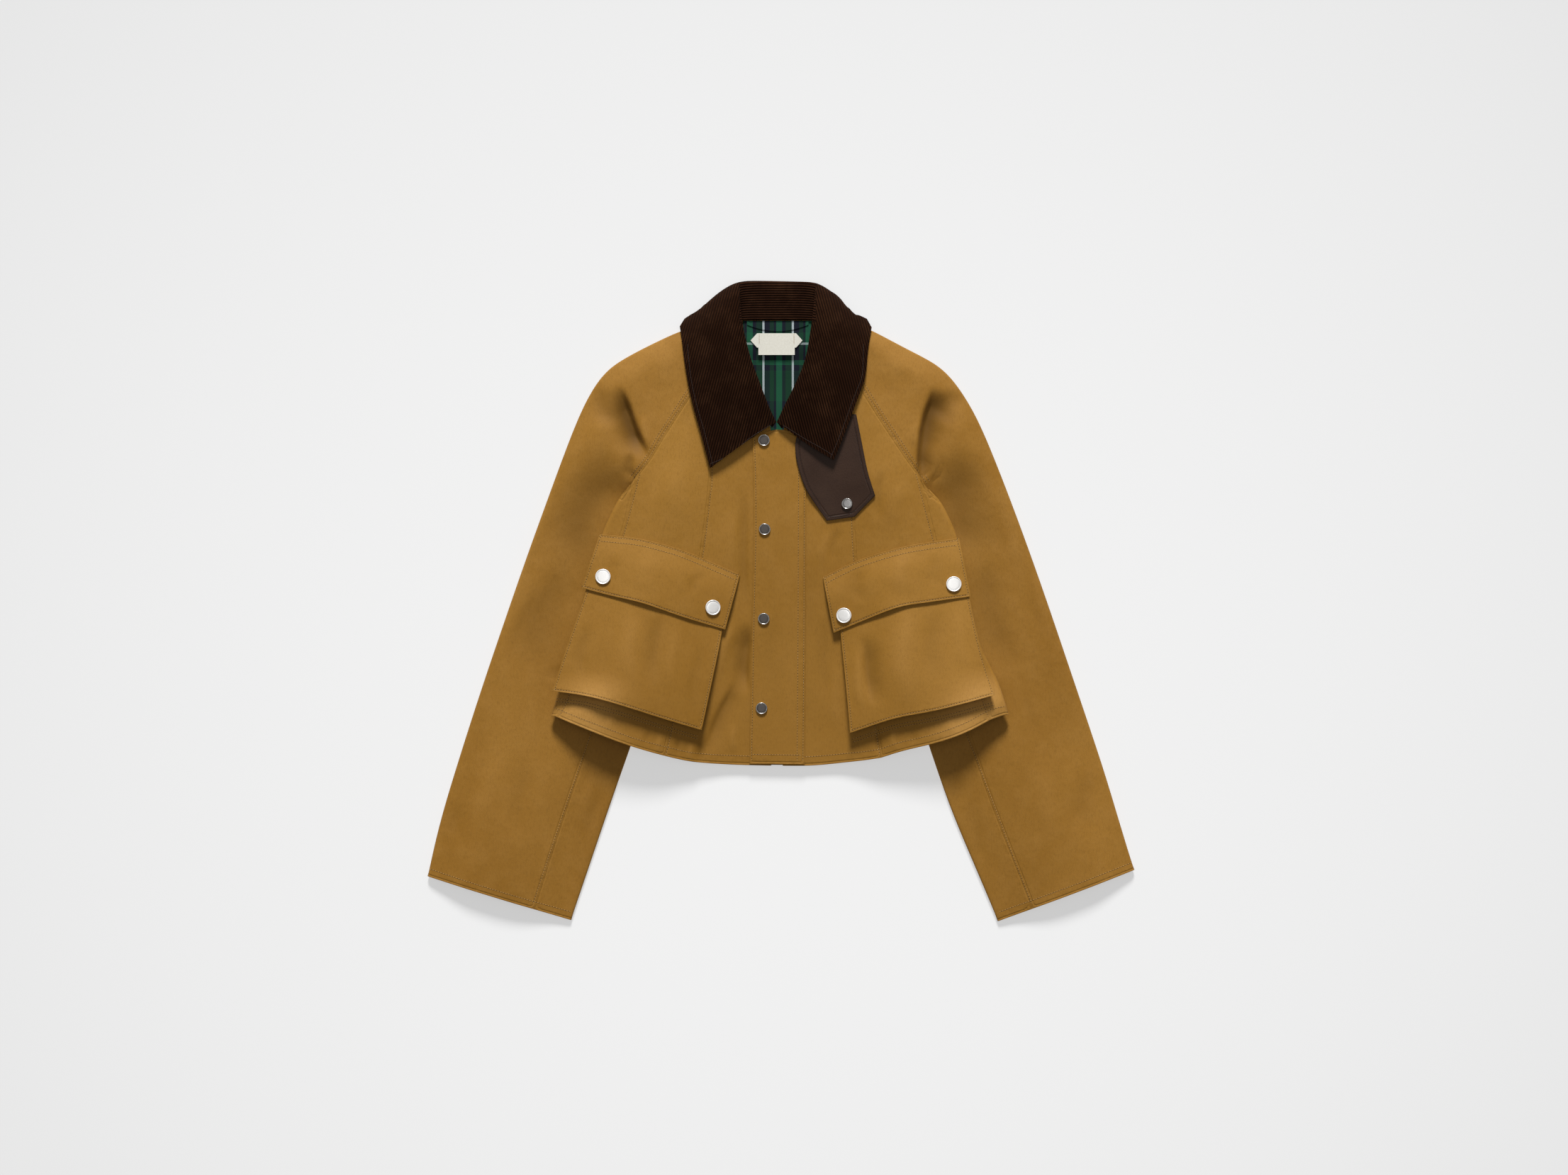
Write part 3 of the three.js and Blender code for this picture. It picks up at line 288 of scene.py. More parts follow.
def lay_creases(obj, creases, size=RIPPLE_SIZE, depth=RIPPLE_DEPTH, resting=RESTING_HEIGHT):
    """Moves the upper layer of a piece up and down by its creases. What rests on the floor stays."""
    fold = obj.data.attributes.new("fold", "FLOAT", "POINT")
    for index, vertex in enumerate(obj.data.vertices):
        x, y, z = (value / MM for value in vertex.co)
        upper = smooth_step((z - resting) / LIFTING_BAND)
        if upper > 0:
            move = crease_height(x, y - Y_SHIFT, creases) + ripple(x, y, size, depth)
            move = max(move, (resting - z) * KEPT_SHARE)
            fold.data[index].value = move * upper
            vertex.co.z += move * upper * MM


def finish_piece(obj, node, material):
    """Dresses a finished piece and lets it stand for its node."""
    obj.data.materials.append(material)
    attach(obj, "root")
    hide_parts(node)
    return obj


def mesh_of(bm, name):
    mesh = bpy.data.meshes.new(name)
    bm.to_mesh(mesh)
    bm.free()
    return mesh


def object_of(bm, name, materials):
    obj = bpy.data.objects.new(name, mesh_of(bm, name))
    bpy.context.scene.collection.objects.link(obj)
    for material in materials:
        obj.data.materials.append(material)
    return obj


# Materials


def node_of(tree, kind, inputs=None, **settings):
    """A shader node with its settings, and with values or links at its inputs."""
    node = tree.nodes.new(kind)
    for key, value in settings.items():
        setattr(node, key, value)
    for key, value in (inputs or {}).items():
        if isinstance(value, bpy.types.NodeSocket):
            tree.links.new(value, node.inputs[key])
        else:
            node.inputs[key].default_value = value
    return node


def math_of(tree, operation, first, second=0.0, clamp=False):
    node = node_of(tree, "ShaderNodeMath", {0: first, 1: second}, operation=operation, use_clamp=clamp)
    return node.outputs[0]


def times(tree, first, second, clamp=False):
    return math_of(tree, "MULTIPLY", first, second, clamp)


def plus(tree, first, second, clamp=False):
    return math_of(tree, "ADD", first, second, clamp)


def minus(tree, first, second, clamp=False):
    return math_of(tree, "SUBTRACT", first, second, clamp)


def noise_of(tree, point, scale, detail, roughness=0.5):
    inputs = {"Vector": point, "Scale": scale, "Detail": detail, "Roughness": roughness}
    return node_of(tree, "ShaderNodeTexNoise", inputs).outputs["Fac"]


def past(tree, value, start, gain):
    """A share that is nothing up to a start and then grows to one."""
    return times(tree, minus(tree, value, start), gain, clamp=True)


def mix_colour(tree, factor, first, second):
    node = tree.nodes.new("ShaderNodeMix")
    node.data_type = "RGBA"
    wanted = (("Factor", "VALUE", factor), ("A", "RGBA", first), ("B", "RGBA", second))
    for label, kind, value in wanted:
        target = next(socket for socket in node.inputs if socket.name == label and socket.type == kind)
        if isinstance(value, bpy.types.NodeSocket):
            tree.links.new(value, target)
        else:
            target.default_value = value
    return next(socket for socket in node.outputs if socket.type == "RGBA")


def shade_of(colour, share):
    """The same colour, lighter or darker by a share."""
    return (*(min(1.0, value * share) for value in colour[:3]), 1)


def new_group(name, sockets_in, sockets_out):
    group = bpy.data.node_groups.new(name, "ShaderNodeTree")
    for label, kind, default in sockets_in:
        socket = group.interface.new_socket(label, in_out="INPUT", socket_type=kind)
        socket.default_value = default
    for label, kind in sockets_out:
        group.interface.new_socket(label, in_out="OUTPUT", socket_type=kind)
    entry = group.nodes.new("NodeGroupInput")
    leave = group.nodes.new("NodeGroupOutput")
    return group, entry, leave


def object_point(tree):
    return node_of(tree, "ShaderNodeTexCoord").outputs["Object"]


# Sizes of the noise in the cloth, as repeats to the metre, and how far the threads wander
THREAD_WANDER = 240.0
THREAD_BEND = 2.2
SLUB_SIZE = 520.0
CLOUD_SIZE = 7.0
BLOTCH_SIZE = 46.0
FLECK_SIZE = 620.0
CLOUD_STRETCH = (1.0, 0.45, 1.0)
FLECK_STRETCH = (1.0, 0.3, 1.0)
FLECK_FROM = 0.28
FLECK_TO = 0.52


def weave_group():
    """A plain weave: over and under threads on X and Y. Puts out a height and the thread's own shade."""
    group, entry, leave = new_group(
        "weave",
        [("Threads", "NodeSocketFloat", 1400.0), ("Slub", "NodeSocketFloat", 0.4)],
        [("Height", "NodeSocketFloat"), ("Shade", "NodeSocketFloat")],
    )
    point = object_point(group)
    parts = node_of(group, "ShaderNodeSeparateXYZ", {0: point})
    wander = noise_of(group, point, THREAD_WANDER, 2.0)
    bend = times(group, wander, THREAD_BEND)
    waves = []
    for axis in (0, 1):
        turns = times(group, parts.outputs[axis], entry.outputs["Threads"])
        waves.append(math_of(group, "SINE", plus(group, turns, bend)))
    product = times(group, waves[0], waves[1])
    slub = noise_of(group, point, SLUB_SIZE, 3.0)
    rough = times(group, slub, entry.outputs["Slub"])
    group.links.new(plus(group, product, rough), leave.inputs["Height"])
    group.links.new(slub, leave.inputs["Shade"])
    return group


def mottle_group():
    """Uneven wax: broad clouds, smaller blotches, and fine dark flecks along the threads."""
    group, entry, leave = new_group(
        "wax_mottle",
        [("Size", "NodeSocketFloat", 1.0)],
        [("Cloud", "NodeSocketFloat"), ("Blotch", "NodeSocketFloat"), ("Fleck", "NodeSocketFloat")],
    )
    point = object_point(group)
    stretched = node_of(group, "ShaderNodeMapping", {"Vector": point, "Scale": CLOUD_STRETCH})
    broad = times(group, entry.outputs["Size"], CLOUD_SIZE)
    cloud = noise_of(group, stretched.outputs[0], broad, 3.0)
    small = times(group, entry.outputs["Size"], BLOTCH_SIZE)
    blotch = noise_of(group, point, small, 6.0, 0.65)
    threads = node_of(group, "ShaderNodeMapping", {"Vector": point, "Scale": FLECK_STRETCH}).outputs[0]
    fleck = noise_of(group, threads, FLECK_SIZE, 4.0, 0.7)
    ramp = node_of(group, "ShaderNodeValToRGB", {"Fac": fleck})
    ramp.color_ramp.elements[0].position = FLECK_FROM
    ramp.color_ramp.elements[1].position = FLECK_TO
    group.links.new(cloud, leave.inputs["Cloud"])
    group.links.new(blotch, leave.inputs["Blotch"])
    group.links.new(ramp.outputs["Color"], leave.inputs["Fleck"])
    return group


# The relief beside a seam. Widths and reaches in millimetres from the border, depths in the bump's own unit
STITCH_GROOVE_WIDTH = 0.9
STITCH_GROOVE_DEPTH = 0.42
GATHER_SIZE = 130.0
PUCKER_REACH = 5.5
PUCKER_DEPTH = 2.2
RIM_REACH = 0.7
RIM_ROLL = 0.22


def seam_group():
    """What sewing does to cloth near its edge: the edge rolls down, the stitches press a groove, and the
    cloth puckers. Reads the piece's distance from its border in millimetres."""
    group, entry, leave = new_group(
        "seam_relief",
        [("Row", "NodeSocketFloat", 2.2), ("Pucker", "NodeSocketFloat", 0.5)],
        [("Height", "NodeSocketFloat"), ("Edge", "NodeSocketFloat")],
    )
    away = node_of(group, "ShaderNodeAttribute", attribute_name="edge_distance").outputs["Fac"]
    from_row = minus(group, away, entry.outputs["Row"])
    from_row = math_of(group, "DIVIDE", from_row, STITCH_GROOVE_WIDTH)
    square = times(group, times(group, from_row, from_row), -1.0)
    groove = times(group, math_of(group, "EXPONENT", square), -STITCH_GROOVE_DEPTH)
    point = object_point(group)
    gather = noise_of(group, point, GATHER_SIZE, 3.0)
    near = math_of(group, "EXPONENT", math_of(group, "DIVIDE", away, -PUCKER_REACH))
    lift = times(group, minus(group, gather, 0.5), near)
    pucker = times(group, lift, times(group, entry.outputs["Pucker"], PUCKER_DEPTH))
    rim = math_of(group, "EXPONENT", math_of(group, "DIVIDE", away, -RIM_REACH))
    roll = times(group, rim, -RIM_ROLL)
    height = plus(group, plus(group, groove, pucker), roll)
    group.links.new(height, leave.inputs["Height"])
    group.links.new(rim, leave.inputs["Edge"])
    return group


WEAVE = weave_group()
MOTTLE = mottle_group()
SEAM = seam_group()


def new_material(name, roughness, metallic=0.0):
    material = bpy.data.materials.new(name)
    material.use_nodes = True
    tree = material.node_tree
    shader = tree.nodes["Principled BSDF"]
    shader.inputs["Roughness"].default_value = roughness
    shader.inputs["Metallic"].default_value = metallic
    return material, tree, shader


def use_group(tree, group, **values):
    return node_of(tree, "ShaderNodeGroup", values, node_tree=group)


def link_shader(tree, shader, **values):
    """Links values to the shader's inputs, whose names have spaces for the underscores."""
    for label, value in values.items():
        tree.links.new(value, shader.inputs[label.replace("_", " ")])


def bump_of(tree, height, strength, distance, normal=None):
    inputs = {"Height": height, "Strength": strength, "Distance": distance}
    if normal is not None:
        inputs["Normal"] = normal
    return node_of(tree, "ShaderNodeBump", inputs).outputs["Normal"]


# Pale wax for the random blotches, and the painted highlight on ridges
PALE_WAX_AND_HIGHLIGHT = (0.405, 0.208, 0.047, 1)
# Where the painted shade towards the hem begins and over what length, in metres
HEM_SHADE_TOP = 0.17
HEM_SHADE_REACH = 0.30
# How dark the painted shade towards the hem, the painted shade in folds, the flecks and the cut edges are, as
# shares of the deep colour
HEM_SHADE_SHARE = 0.85
FOLD_SHADE = 0.42
FLECK_SHADE = 0.5
EDGE_SHADE = 0.35
# How fast ridges turn pale, from wear and as painted highlight, and troughs darken as painted shade, for each
# millimetre of height
RIDGE_WEAR_AND_HIGHLIGHT = 0.14
TROUGH_SHADE = 0.09


def waxed_cotton(name, base, deep, hem_shade):
    """Tan waxed cotton: clouds of wax and flecks in the weave, painted shade in the troughs of folds, and ridges
    made pale by wear and by painted highlight. The cloth is painted darker towards the hem, as painted shade."""
    material, tree, shader = new_material(name, 0.62)
    mottle = use_group(tree, MOTTLE, Size=1.0)
    weave = use_group(tree, WEAVE, Threads=4200.0, Slub=0.8)
    seam = use_group(tree, SEAM, Row=2.2, Pucker=0.5)
    colour = mix_colour(tree, past(tree, mottle.outputs["Cloud"], 0.3, 2.2), deep, base)
    blotch = past(tree, mottle.outputs["Blotch"], 0.42, 1.4)
    colour = mix_colour(tree, times(tree, blotch, 0.8), colour, PALE_WAX_AND_HIGHLIGHT)
    # Painted shade: the cloth darkens towards the hem
    height = node_of(tree, "ShaderNodeSeparateXYZ", {0: object_point(tree)}).outputs["Y"]
    toward_hem = math_of(tree, "DIVIDE", minus(tree, HEM_SHADE_TOP, height), HEM_SHADE_REACH, clamp=True)
    low = times(tree, toward_hem, hem_shade)
    colour = mix_colour(tree, low, colour, shade_of(deep, HEM_SHADE_SHARE))
    fold = node_of(tree, "ShaderNodeAttribute", attribute_name="fold").outputs["Fac"]
    # Ridges turn pale from wear and painted highlight, troughs darken with painted shade
    ridge_wear_and_highlight = times(tree, fold, RIDGE_WEAR_AND_HIGHLIGHT, clamp=True)
    colour = mix_colour(tree, ridge_wear_and_highlight, colour, PALE_WAX_AND_HIGHLIGHT)
    trough_shading = times(tree, fold, -TROUGH_SHADE, clamp=True)
    colour = mix_colour(tree, trough_shading, colour, shade_of(deep, FOLD_SHADE))
    fleck = times(tree, minus(tree, 1.0, mottle.outputs["Fleck"]), 0.3)
    colour = mix_colour(tree, fleck, colour, shade_of(deep, FLECK_SHADE))
    edge = times(tree, seam.outputs["Edge"], 0.16)
    colour = mix_colour(tree, edge, colour, shade_of(deep, EDGE_SHADE))
    rough = plus(tree, 0.5, times(tree, mottle.outputs["Blotch"], 0.24))
    sewn = bump_of(tree, seam.outputs["Height"], 1.0, 0.001)
    uneven = bump_of(tree, mottle.outputs["Blotch"], 0.4, 0.0012, sewn)
    relief = bump_of(tree, weave.outputs["Height"], 0.35, 0.00016, uneven)
    link_shader(tree, shader, Base_Color=colour, Roughness=rough, Normal=relief)
    shader.inputs["Sheen Weight"].default_value = 0.02
    shader.inputs["Specular IOR Level"].default_value = 0.16
    return material


WALE_BROWN = (0.0240, 0.0076, 0.0025, 1)
WORN_WALE = (0.057, 0.0225, 0.0092, 1)
# Painted shade down in the grooves between the wales
WALE_GROOVE_SHADE = (0.0048, 0.0015, 0.0006, 1)
SHED_PILE = (0.004, 0.0015, 0.0007, 1)
PILE_SHEEN = (0.6, 0.3, 0.16, 1)


def corduroy():
    """Dark brown corduroy: the wales follow the piece's own wale attribute, with rubbed pile on their tops and
    painted shade in the grooves between them.
    """
    material, tree, shader = new_material("corduroy", 0.85)
    wale = node_of(tree, "ShaderNodeAttribute", attribute_name="wale").outputs["Fac"]
    point = object_point(tree)
    pile = noise_of(tree, point, 900.0, 3.0)
    drift = noise_of(tree, point, 60.0, 3.0)
    bend = times(tree, drift, 0.9)
    turns = plus(tree, times(tree, wale, 2 * math.pi), bend)
    rib = plus(tree, times(tree, math_of(tree, "COSINE", turns), 0.5), 0.5)
    top = math_of(tree, "POWER", rib, 0.6)
    rub = noise_of(tree, point, 30.0, 5.0, 0.75)
    tint = mix_colour(tree, past(tree, rub, 0.46, 3.4), WALE_BROWN, WORN_WALE)
    # The grooves between the wales are painted dark, as painted shade
    colour = mix_colour(tree, top, WALE_GROOVE_SHADE, tint)
    shed = times(tree, pile, 0.3)
    colour = mix_colour(tree, shed, colour, SHED_PILE)
    height = plus(tree, top, times(tree, pile, 0.25))
    relief = bump_of(tree, height, 1.0, 0.0011)
    link_shader(tree, shader, Base_Color=colour, Normal=relief)
    shader.inputs["Sheen Weight"].default_value = 0.03
    shader.inputs["Sheen Tint"].default_value = PILE_SHEEN
    shader.inputs["Specular IOR Level"].default_value = 0.05
    return material


LEATHER_BROWN = (0.036, 0.0165, 0.0088, 1)
RUBBED_LEATHER = (0.050, 0.0245, 0.0138, 1)
LEATHER_CREVICE = (0.018, 0.008, 0.0045, 1)
PRESSED_EDGE = (0.012, 0.0055, 0.003, 1)


def leather():
    """Dark brown leather with a fine pebbled grain, rubbed patches and a darker pressed edge."""
    material, tree, shader = new_material("leather", 0.5)
    point = object_point(tree)
    grain = node_of(tree, "ShaderNodeTexVoronoi", {"Vector": point, "Scale": 620.0})
    pores = noise_of(tree, point, 1500.0, 4.0)
    rub = noise_of(tree, point, 30.0, 5.0, 0.6)
    seam = use_group(tree, SEAM, Row=5.0, Pucker=0.15)
    colour = mix_colour(tree, past(tree, rub, 0.4, 2.4), LEATHER_BROWN, RUBBED_LEATHER)
    cells = times(tree, grain.outputs["Distance"], 0.4)
    colour = mix_colour(tree, cells, colour, LEATHER_CREVICE)
    colour = mix_colour(tree, seam.outputs["Edge"], colour, PRESSED_EDGE)
    rough = plus(tree, 0.46, times(tree, rub, 0.2))
    pressed = bump_of(tree, seam.outputs["Height"], 1.0, 0.001)
    fine = bump_of(tree, pores, 0.2, 0.0002, pressed)
    relief = bump_of(tree, grain.outputs["Distance"], 0.35, 0.0003, fine)
    link_shader(tree, shader, Base_Color=colour, Roughness=rough, Normal=relief)
    shader.inputs["Specular IOR Level"].default_value = 0.2
    return material


# Woven check. Repeats and place in metres. Bands: where each starts as a share of the repeat, and its colour
WARP_REPEAT = 0.0364
WEFT_REPEAT = 0.118
CHECK_PLACE = (0.0424, -0.2150)
GREEN = (0.010, 0.043, 0.022, 1)
BRIGHT_GREEN = (0.016, 0.118, 0.056, 1)
MID_GREEN = (0.011, 0.050, 0.028, 1)
NAVY = (0.009, 0.011, 0.020, 1)
PALE = (0.60, 0.68, 0.70, 1)
WARP_BANDS = [
    (0.0, BRIGHT_GREEN), (0.20, NAVY), (0.32, GREEN), (0.53, PALE), (0.60, NAVY), (0.78, GREEN), (0.92, NAVY),
]
WEFT_BANDS = [
    (0.0, NAVY), (0.28, GREEN), (0.6, NAVY), (0.66, BRIGHT_GREEN), (0.71, NAVY), (0.87, PALE),
    (0.892, MID_GREEN),
]


def band_ramp(tree, value, bands):
    ramp = node_of(tree, "ShaderNodeValToRGB", {"Fac": value})
    ramp.color_ramp.interpolation = "CONSTANT"
    stops = ramp.color_ramp.elements
    while len(stops) < len(bands):
        stops.new(0.5)
    for stop, (place, colour) in zip(stops, bands):
        stop.position = place
        stop.color = colour
    return ramp.outputs["Color"]


TWILL_THREADS = 5200.0


def check_lining():
    """Woven green and navy check with pale lines, in a fine twill."""
    material, tree, shader = new_material("check_lining", 0.8)
    ends = {0: object_point(tree), 1: (*CHECK_PLACE, 0)}
    moved = node_of(tree, "ShaderNodeVectorMath", ends, operation="ADD").outputs[0]
    parts = node_of(tree, "ShaderNodeSeparateXYZ", {0: moved})
    colours = []
    for axis, repeat, bands in ((0, WARP_REPEAT, WARP_BANDS), (1, WEFT_REPEAT, WEFT_BANDS)):
        share = math_of(tree, "FRACT", math_of(tree, "DIVIDE", parts.outputs[axis], repeat))
        colours.append(band_ramp(tree, share, bands))
    diagonal = plus(tree, parts.outputs[0], parts.outputs[1])
    twill = math_of(tree, "SINE", times(tree, diagonal, TWILL_THREADS))
    over = plus(tree, 0.36, times(tree, twill, 0.3), clamp=True)
    colour = mix_colour(tree, over, colours[0], colours[1])
    relief = bump_of(tree, twill, 0.3, 0.0002)
    link_shader(tree, shader, Base_Color=colour, Normal=relief)
    shader.inputs["Specular IOR Level"].default_value = 0.12
    return material


TAPE_SHADOW = (0.66, 0.63, 0.53, 1)
TAPE_CREAM = (0.84, 0.82, 0.74, 1)


def label_tape():
    """Plain cream tape."""
    material, tree, shader = new_material("label_tape", 0.75)
    weave = use_group(tree, WEAVE, Threads=9000.0, Slub=0.5)
    colour = mix_colour(tree, weave.outputs["Shade"], TAPE_SHADOW, TAPE_CREAM)
    relief = bump_of(tree, weave.outputs["Height"], 0.3, 0.0001)
    link_shader(tree, shader, Base_Color=colour, Normal=relief)
    return material


def snap_metal(name, light, dark, roughness, metallic=1.0):
    """A pressed metal cap with a few rubbed patches."""
    material, tree, shader = new_material(name, roughness, metallic)
    point = object_point(tree)
    rub = noise_of(tree, point, 260.0, 5.0, 0.7)
    colour = mix_colour(tree, rub, dark, light)
    rough = plus(tree, roughness, times(tree, rub, 0.14))
    relief = bump_of(tree, rub, 0.08, 0.0002)
    link_shader(tree, shader, Base_Color=colour, Roughness=rough, Normal=relief)
    return material


def thread(name, light, dark):
    """Twisted sewing thread."""
    material, tree, shader = new_material(name, 0.7)
    point = object_point(tree)
    twist = noise_of(tree, point, 700.0, 3.0)
    colour = mix_colour(tree, twist, dark, light)
    relief = bump_of(tree, twist, 0.4, 0.0002)
    link_shader(tree, shader, Base_Color=colour, Normal=relief)
    return material


BODY_TAN = (0.366, 0.180, 0.0280, 1)
BODY_DEEP = (0.284, 0.132, 0.0150, 1)
SLEEVE_TAN = (0.345, 0.167, 0.0258, 1)
SLEEVE_DEEP = (0.262, 0.119, 0.0128, 1)
# The sleeves' cloth is a little darker and takes less painted shade towards the hem
BODY_COTTON = waxed_cotton("waxed_cotton_body", BODY_TAN, BODY_DEEP, 0.62)
SLEEVE_COTTON = waxed_cotton("waxed_cotton_sleeve", SLEEVE_TAN, SLEEVE_DEEP, 0.25)
CORDUROY = corduroy()
LEATHER = leather()
CHECK = check_lining()
TAPE = label_tape()
SILVER = snap_metal("silver_rim", (0.62, 0.60, 0.57, 1), (0.42, 0.40, 0.38, 1), 0.22)
GUNMETAL = snap_metal("gunmetal_face", (0.12, 0.108, 0.10, 1), (0.07, 0.063, 0.058, 1), 0.34)
PALE_METAL = snap_metal("pale_face", (0.97, 0.955, 0.93, 1), (0.92, 0.90, 0.87, 1), 0.28, metallic=0.4)
GREY_METAL = snap_metal("grey_face", (0.42, 0.41, 0.40, 1), (0.32, 0.31, 0.30, 1), 0.3)
TAN_THREAD = thread("tan_thread", (0.48, 0.285, 0.088, 1), (0.34, 0.180, 0.045, 1))
BROWN_THREAD = thread("brown_thread", (0.020, 0.008, 0.004, 1), (0.010, 0.004, 0.002, 1))
CORD_THREAD = thread("corduroy_thread", (0.030, 0.013, 0.007, 1), (0.016, 0.006, 0.003, 1))
CREAM_THREAD = thread("cream_thread", (0.6, 0.56, 0.45, 1), (0.42, 0.38, 0.3, 1))
# Needle holes are dark discs of painted shade
NEEDLE_HOLE_SHADE = thread("needle_hole_shade", (0.035, 0.016, 0.004, 1), (0.018, 0.008, 0.002, 1))

# Cloth pieces. Columns: node, divisions, material, creases
BODY = BODY_CREASES + ARMHOLE_CREASES
SLEEVE = SLEEVE_CREASES + ARMHOLE_CREASES
POCKET = BODY + POCKET_CREASES
PIECES = [("back", 2, BODY_COTTON, []), ("placket", 3, BODY_COTTON, BODY)]
for side in SIDES:
    PIECES += [
        (f"front_centre_{side}", 3, BODY_COTTON, BODY),
        (f"front_mid_{side}", 3, BODY_COTTON, BODY),
        (f"side_{side}", 3, BODY_COTTON, BODY),
        (f"sleeve_upper_{side}", 3, SLEEVE_COTTON, SLEEVE),
        (f"sleeve_under_{side}", 2, SLEEVE_COTTON, SLEEVE),
        (f"pocket_face_{side}", 3, BODY_COTTON, POCKET),
        (f"pocket_gusset_{side}", 2, BODY_COTTON, BODY),
        (f"pocket_flap_{side}", 3, BODY_COTTON, POCKET),
    ]

cloth = {}
for node, levels, material, creases in PIECES:
    piece = fine_copy(node, f"{node}_cloth", levels)
    measure_border(piece)
    close_seams(piece)
    if node.startswith("sleeve_upper"):
        draw_in_underarm(piece, node.rsplit("_", 1)[1])
    lay_creases(piece, creases)
    cloth[node] = finish_piece(piece, node, material)

# The collar's wales, in millimetres. On each leaf they lean in towards the neck, on the stand they run level.
WALE_PITCH = 3.1
LEAF_LEAN = 0.27
LEAF_PARTING = -5
LEAF_LEVEL = 300
STAND_MIDDLE = -4
STAND_HALF = 47
STAND_FOOT = 346
STAND_ABOVE = 6
STAND_SLOPE = 0.5


def add_wales(obj):
    """Each vertex keeps its place across the wales, counted in wales."""
    wale = obj.data.attributes.new("wale", "FLOAT", "POINT")
    for index, vertex in enumerate(obj.data.vertices):
        x, y, z = (value / MM for value in vertex.co)
        y -= Y_SHIFT
        on_stand = abs(x - STAND_MIDDLE) < STAND_HALF and y > STAND_FOOT and z > STAND_ABOVE
        if on_stand:
            across = y + STAND_SLOPE * z
        else:
            lean = LEAF_LEAN if x < LEAF_PARTING else -LEAF_LEAN
            across = (x - lean * (y - LEAF_LEVEL)) / math.hypot(1, lean)
        wale.data[index].value = across / WALE_PITCH


collar = fine_copy("collar", "collar_corduroy", 3)
lay_creases(collar, COLLAR_CREASES, COLLAR_RIPPLE_SIZE, COLLAR_RIPPLE_DEPTH, COLLAR_RESTING_HEIGHT)
add_wales(collar)
cloth["collar"] = finish_piece(collar, "collar", CORDUROY)

tab = fine_copy("throat_tab", "throat_tab_leather", 3)
measure_border(tab)
lay_creases(tab, BODY)
cloth["throat_tab"] = finish_piece(tab, "throat_tab", LEATHER)
lining = fine_copy("back_lining", "back_lining_check", 3)
cloth["back_lining"] = finish_piece(lining, "back_lining", CHECK)
loop = fine_copy("hanger_loop", "hanger_loop_check", 3)
finish_piece(loop, "hanger_loop", CHECK)
label = fine_copy("neck_label", "neck_label_tape", 0)
cloth["neck_label"] = finish_piece(label, "neck_label", TAPE)

# Snap caps turned from a profile. Columns: share of the radius, share of the height
DOMED_CAP = [
    (0.0, 0.90), (0.30, 0.90), (0.60, 0.87), (0.76, 0.82), (0.80, 0.74), (0.83, 0.76), (0.88, 0.93),
    (0.93, 1.0), (0.97, 0.9), (1.0, 0.62), (1.0, 0.3), (0.96, 0.05), (0.9, 0.0), (0.0, 0.0),
]
RIMMED_CAP = [
    (0.0, 0.80), (0.45, 0.80), (0.78, 0.78), (0.81, 0.74), (0.84, 0.80), (0.885, 0.96), (0.93, 1.0),
    (0.97, 0.88), (1.0, 0.6), (1.0, 0.2), (0.96, 0.04), (0.9, 0.0), (0.0, 0.0),
]
CAP_SIDES = 48
CAP_PROFILE = {"domed": DOMED_CAP, "rimmed": RIMMED_CAP}
FACE_SHARE = {"domed": 0.78, "rimmed": 0.82}
CAP_SAME_PLACE = 1e-6


def cap_axes(node):
    """A cap's centre, its axis pointing up, its half height and its radius, from its own solid."""
    points = np.array([vertex.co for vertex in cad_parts[node].data.vertices], float)
    middle = (points.min(0) + points.max(0)) / 2
    axis = np.linalg.svd(points - points.mean(0), full_matrices=False)[2][2]
    axis = axis if axis[2] > 0 else -axis
    heights = (points - middle) @ axis
    middle = middle + axis * (heights.min() + heights.max()) / 2
    radial = np.linalg.norm((points - middle) - np.outer((points - middle) @ axis, axis), axis=1)
    return Vector(middle), Vector(axis), (heights.max() - heights.min()) / 2, radial.max()


def turned_cap(node, profile, face_share, materials):
    """A cap turned round its axis: a face of one metal inside a rim of another."""
    middle, axis, half_height, radius = cap_axes(node)
    bm = bmesh.new()
    points = [bm.verts.new((share * radius, 0, (2 * height - 1) * half_height)) for share, height in profile]
    edges = [bm.edges.new(pair) for pair in zip(points, points[1:])]
    bmesh.ops.spin(
        bm, geom=points + edges, cent=(0, 0, 0), axis=(0, 0, 1), angle=2 * math.pi,
        steps=CAP_SIDES, use_merge=True,
    )
    bmesh.ops.remove_doubles(bm, verts=bm.verts, dist=CAP_SAME_PLACE)
    bmesh.ops.recalc_face_normals(bm, faces=bm.faces)
    for face in bm.faces:
        outermost = max(vertex.co.xy.length for vertex in face.verts) / radius
        face.material_index = 1 if outermost <= face_share else 0
        face.smooth = True
    turn = axis.to_track_quat("Z", "Y").to_matrix().to_4x4()
    bmesh.ops.transform(bm, matrix=Matrix.Translation(middle) @ turn, verts=bm.verts)
    return object_of(bm, f"{node}_cap", materials)


# Columns: node, kind of cap, metals of rim and face, slot, creases of the cloth below
SNAPS = [(f"placket_snap_{n}", "rimmed", (SILVER, GUNMETAL), "dark_snap", BODY) for n in (1, 2, 3, 4)]
for side in SIDES:
    for place in ("outer", "inner"):
        SNAPS.append((f"flap_snap_{side}_{place}", "domed", (PALE_METAL, PALE_METAL), "pale_snap", POCKET))
SNAPS.append(("tab_snap", "rimmed", (SILVER, GREY_METAL), "pale_snap", BODY))
for node, kind, metals, slot, creases in SNAPS:
    cap = turned_cap(node, CAP_PROFILE[kind], FACE_SHARE[kind], metals)
    middle = cap_axes(node)[0]
    x, y = middle.x / MM, middle.y / MM
    lift = crease_height(x, y - Y_SHIFT, creases) + ripple(x, y)
    for vertex in cap.data.vertices:
        vertex.co.z += lift * MM
    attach(cap, "root")
    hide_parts(node)


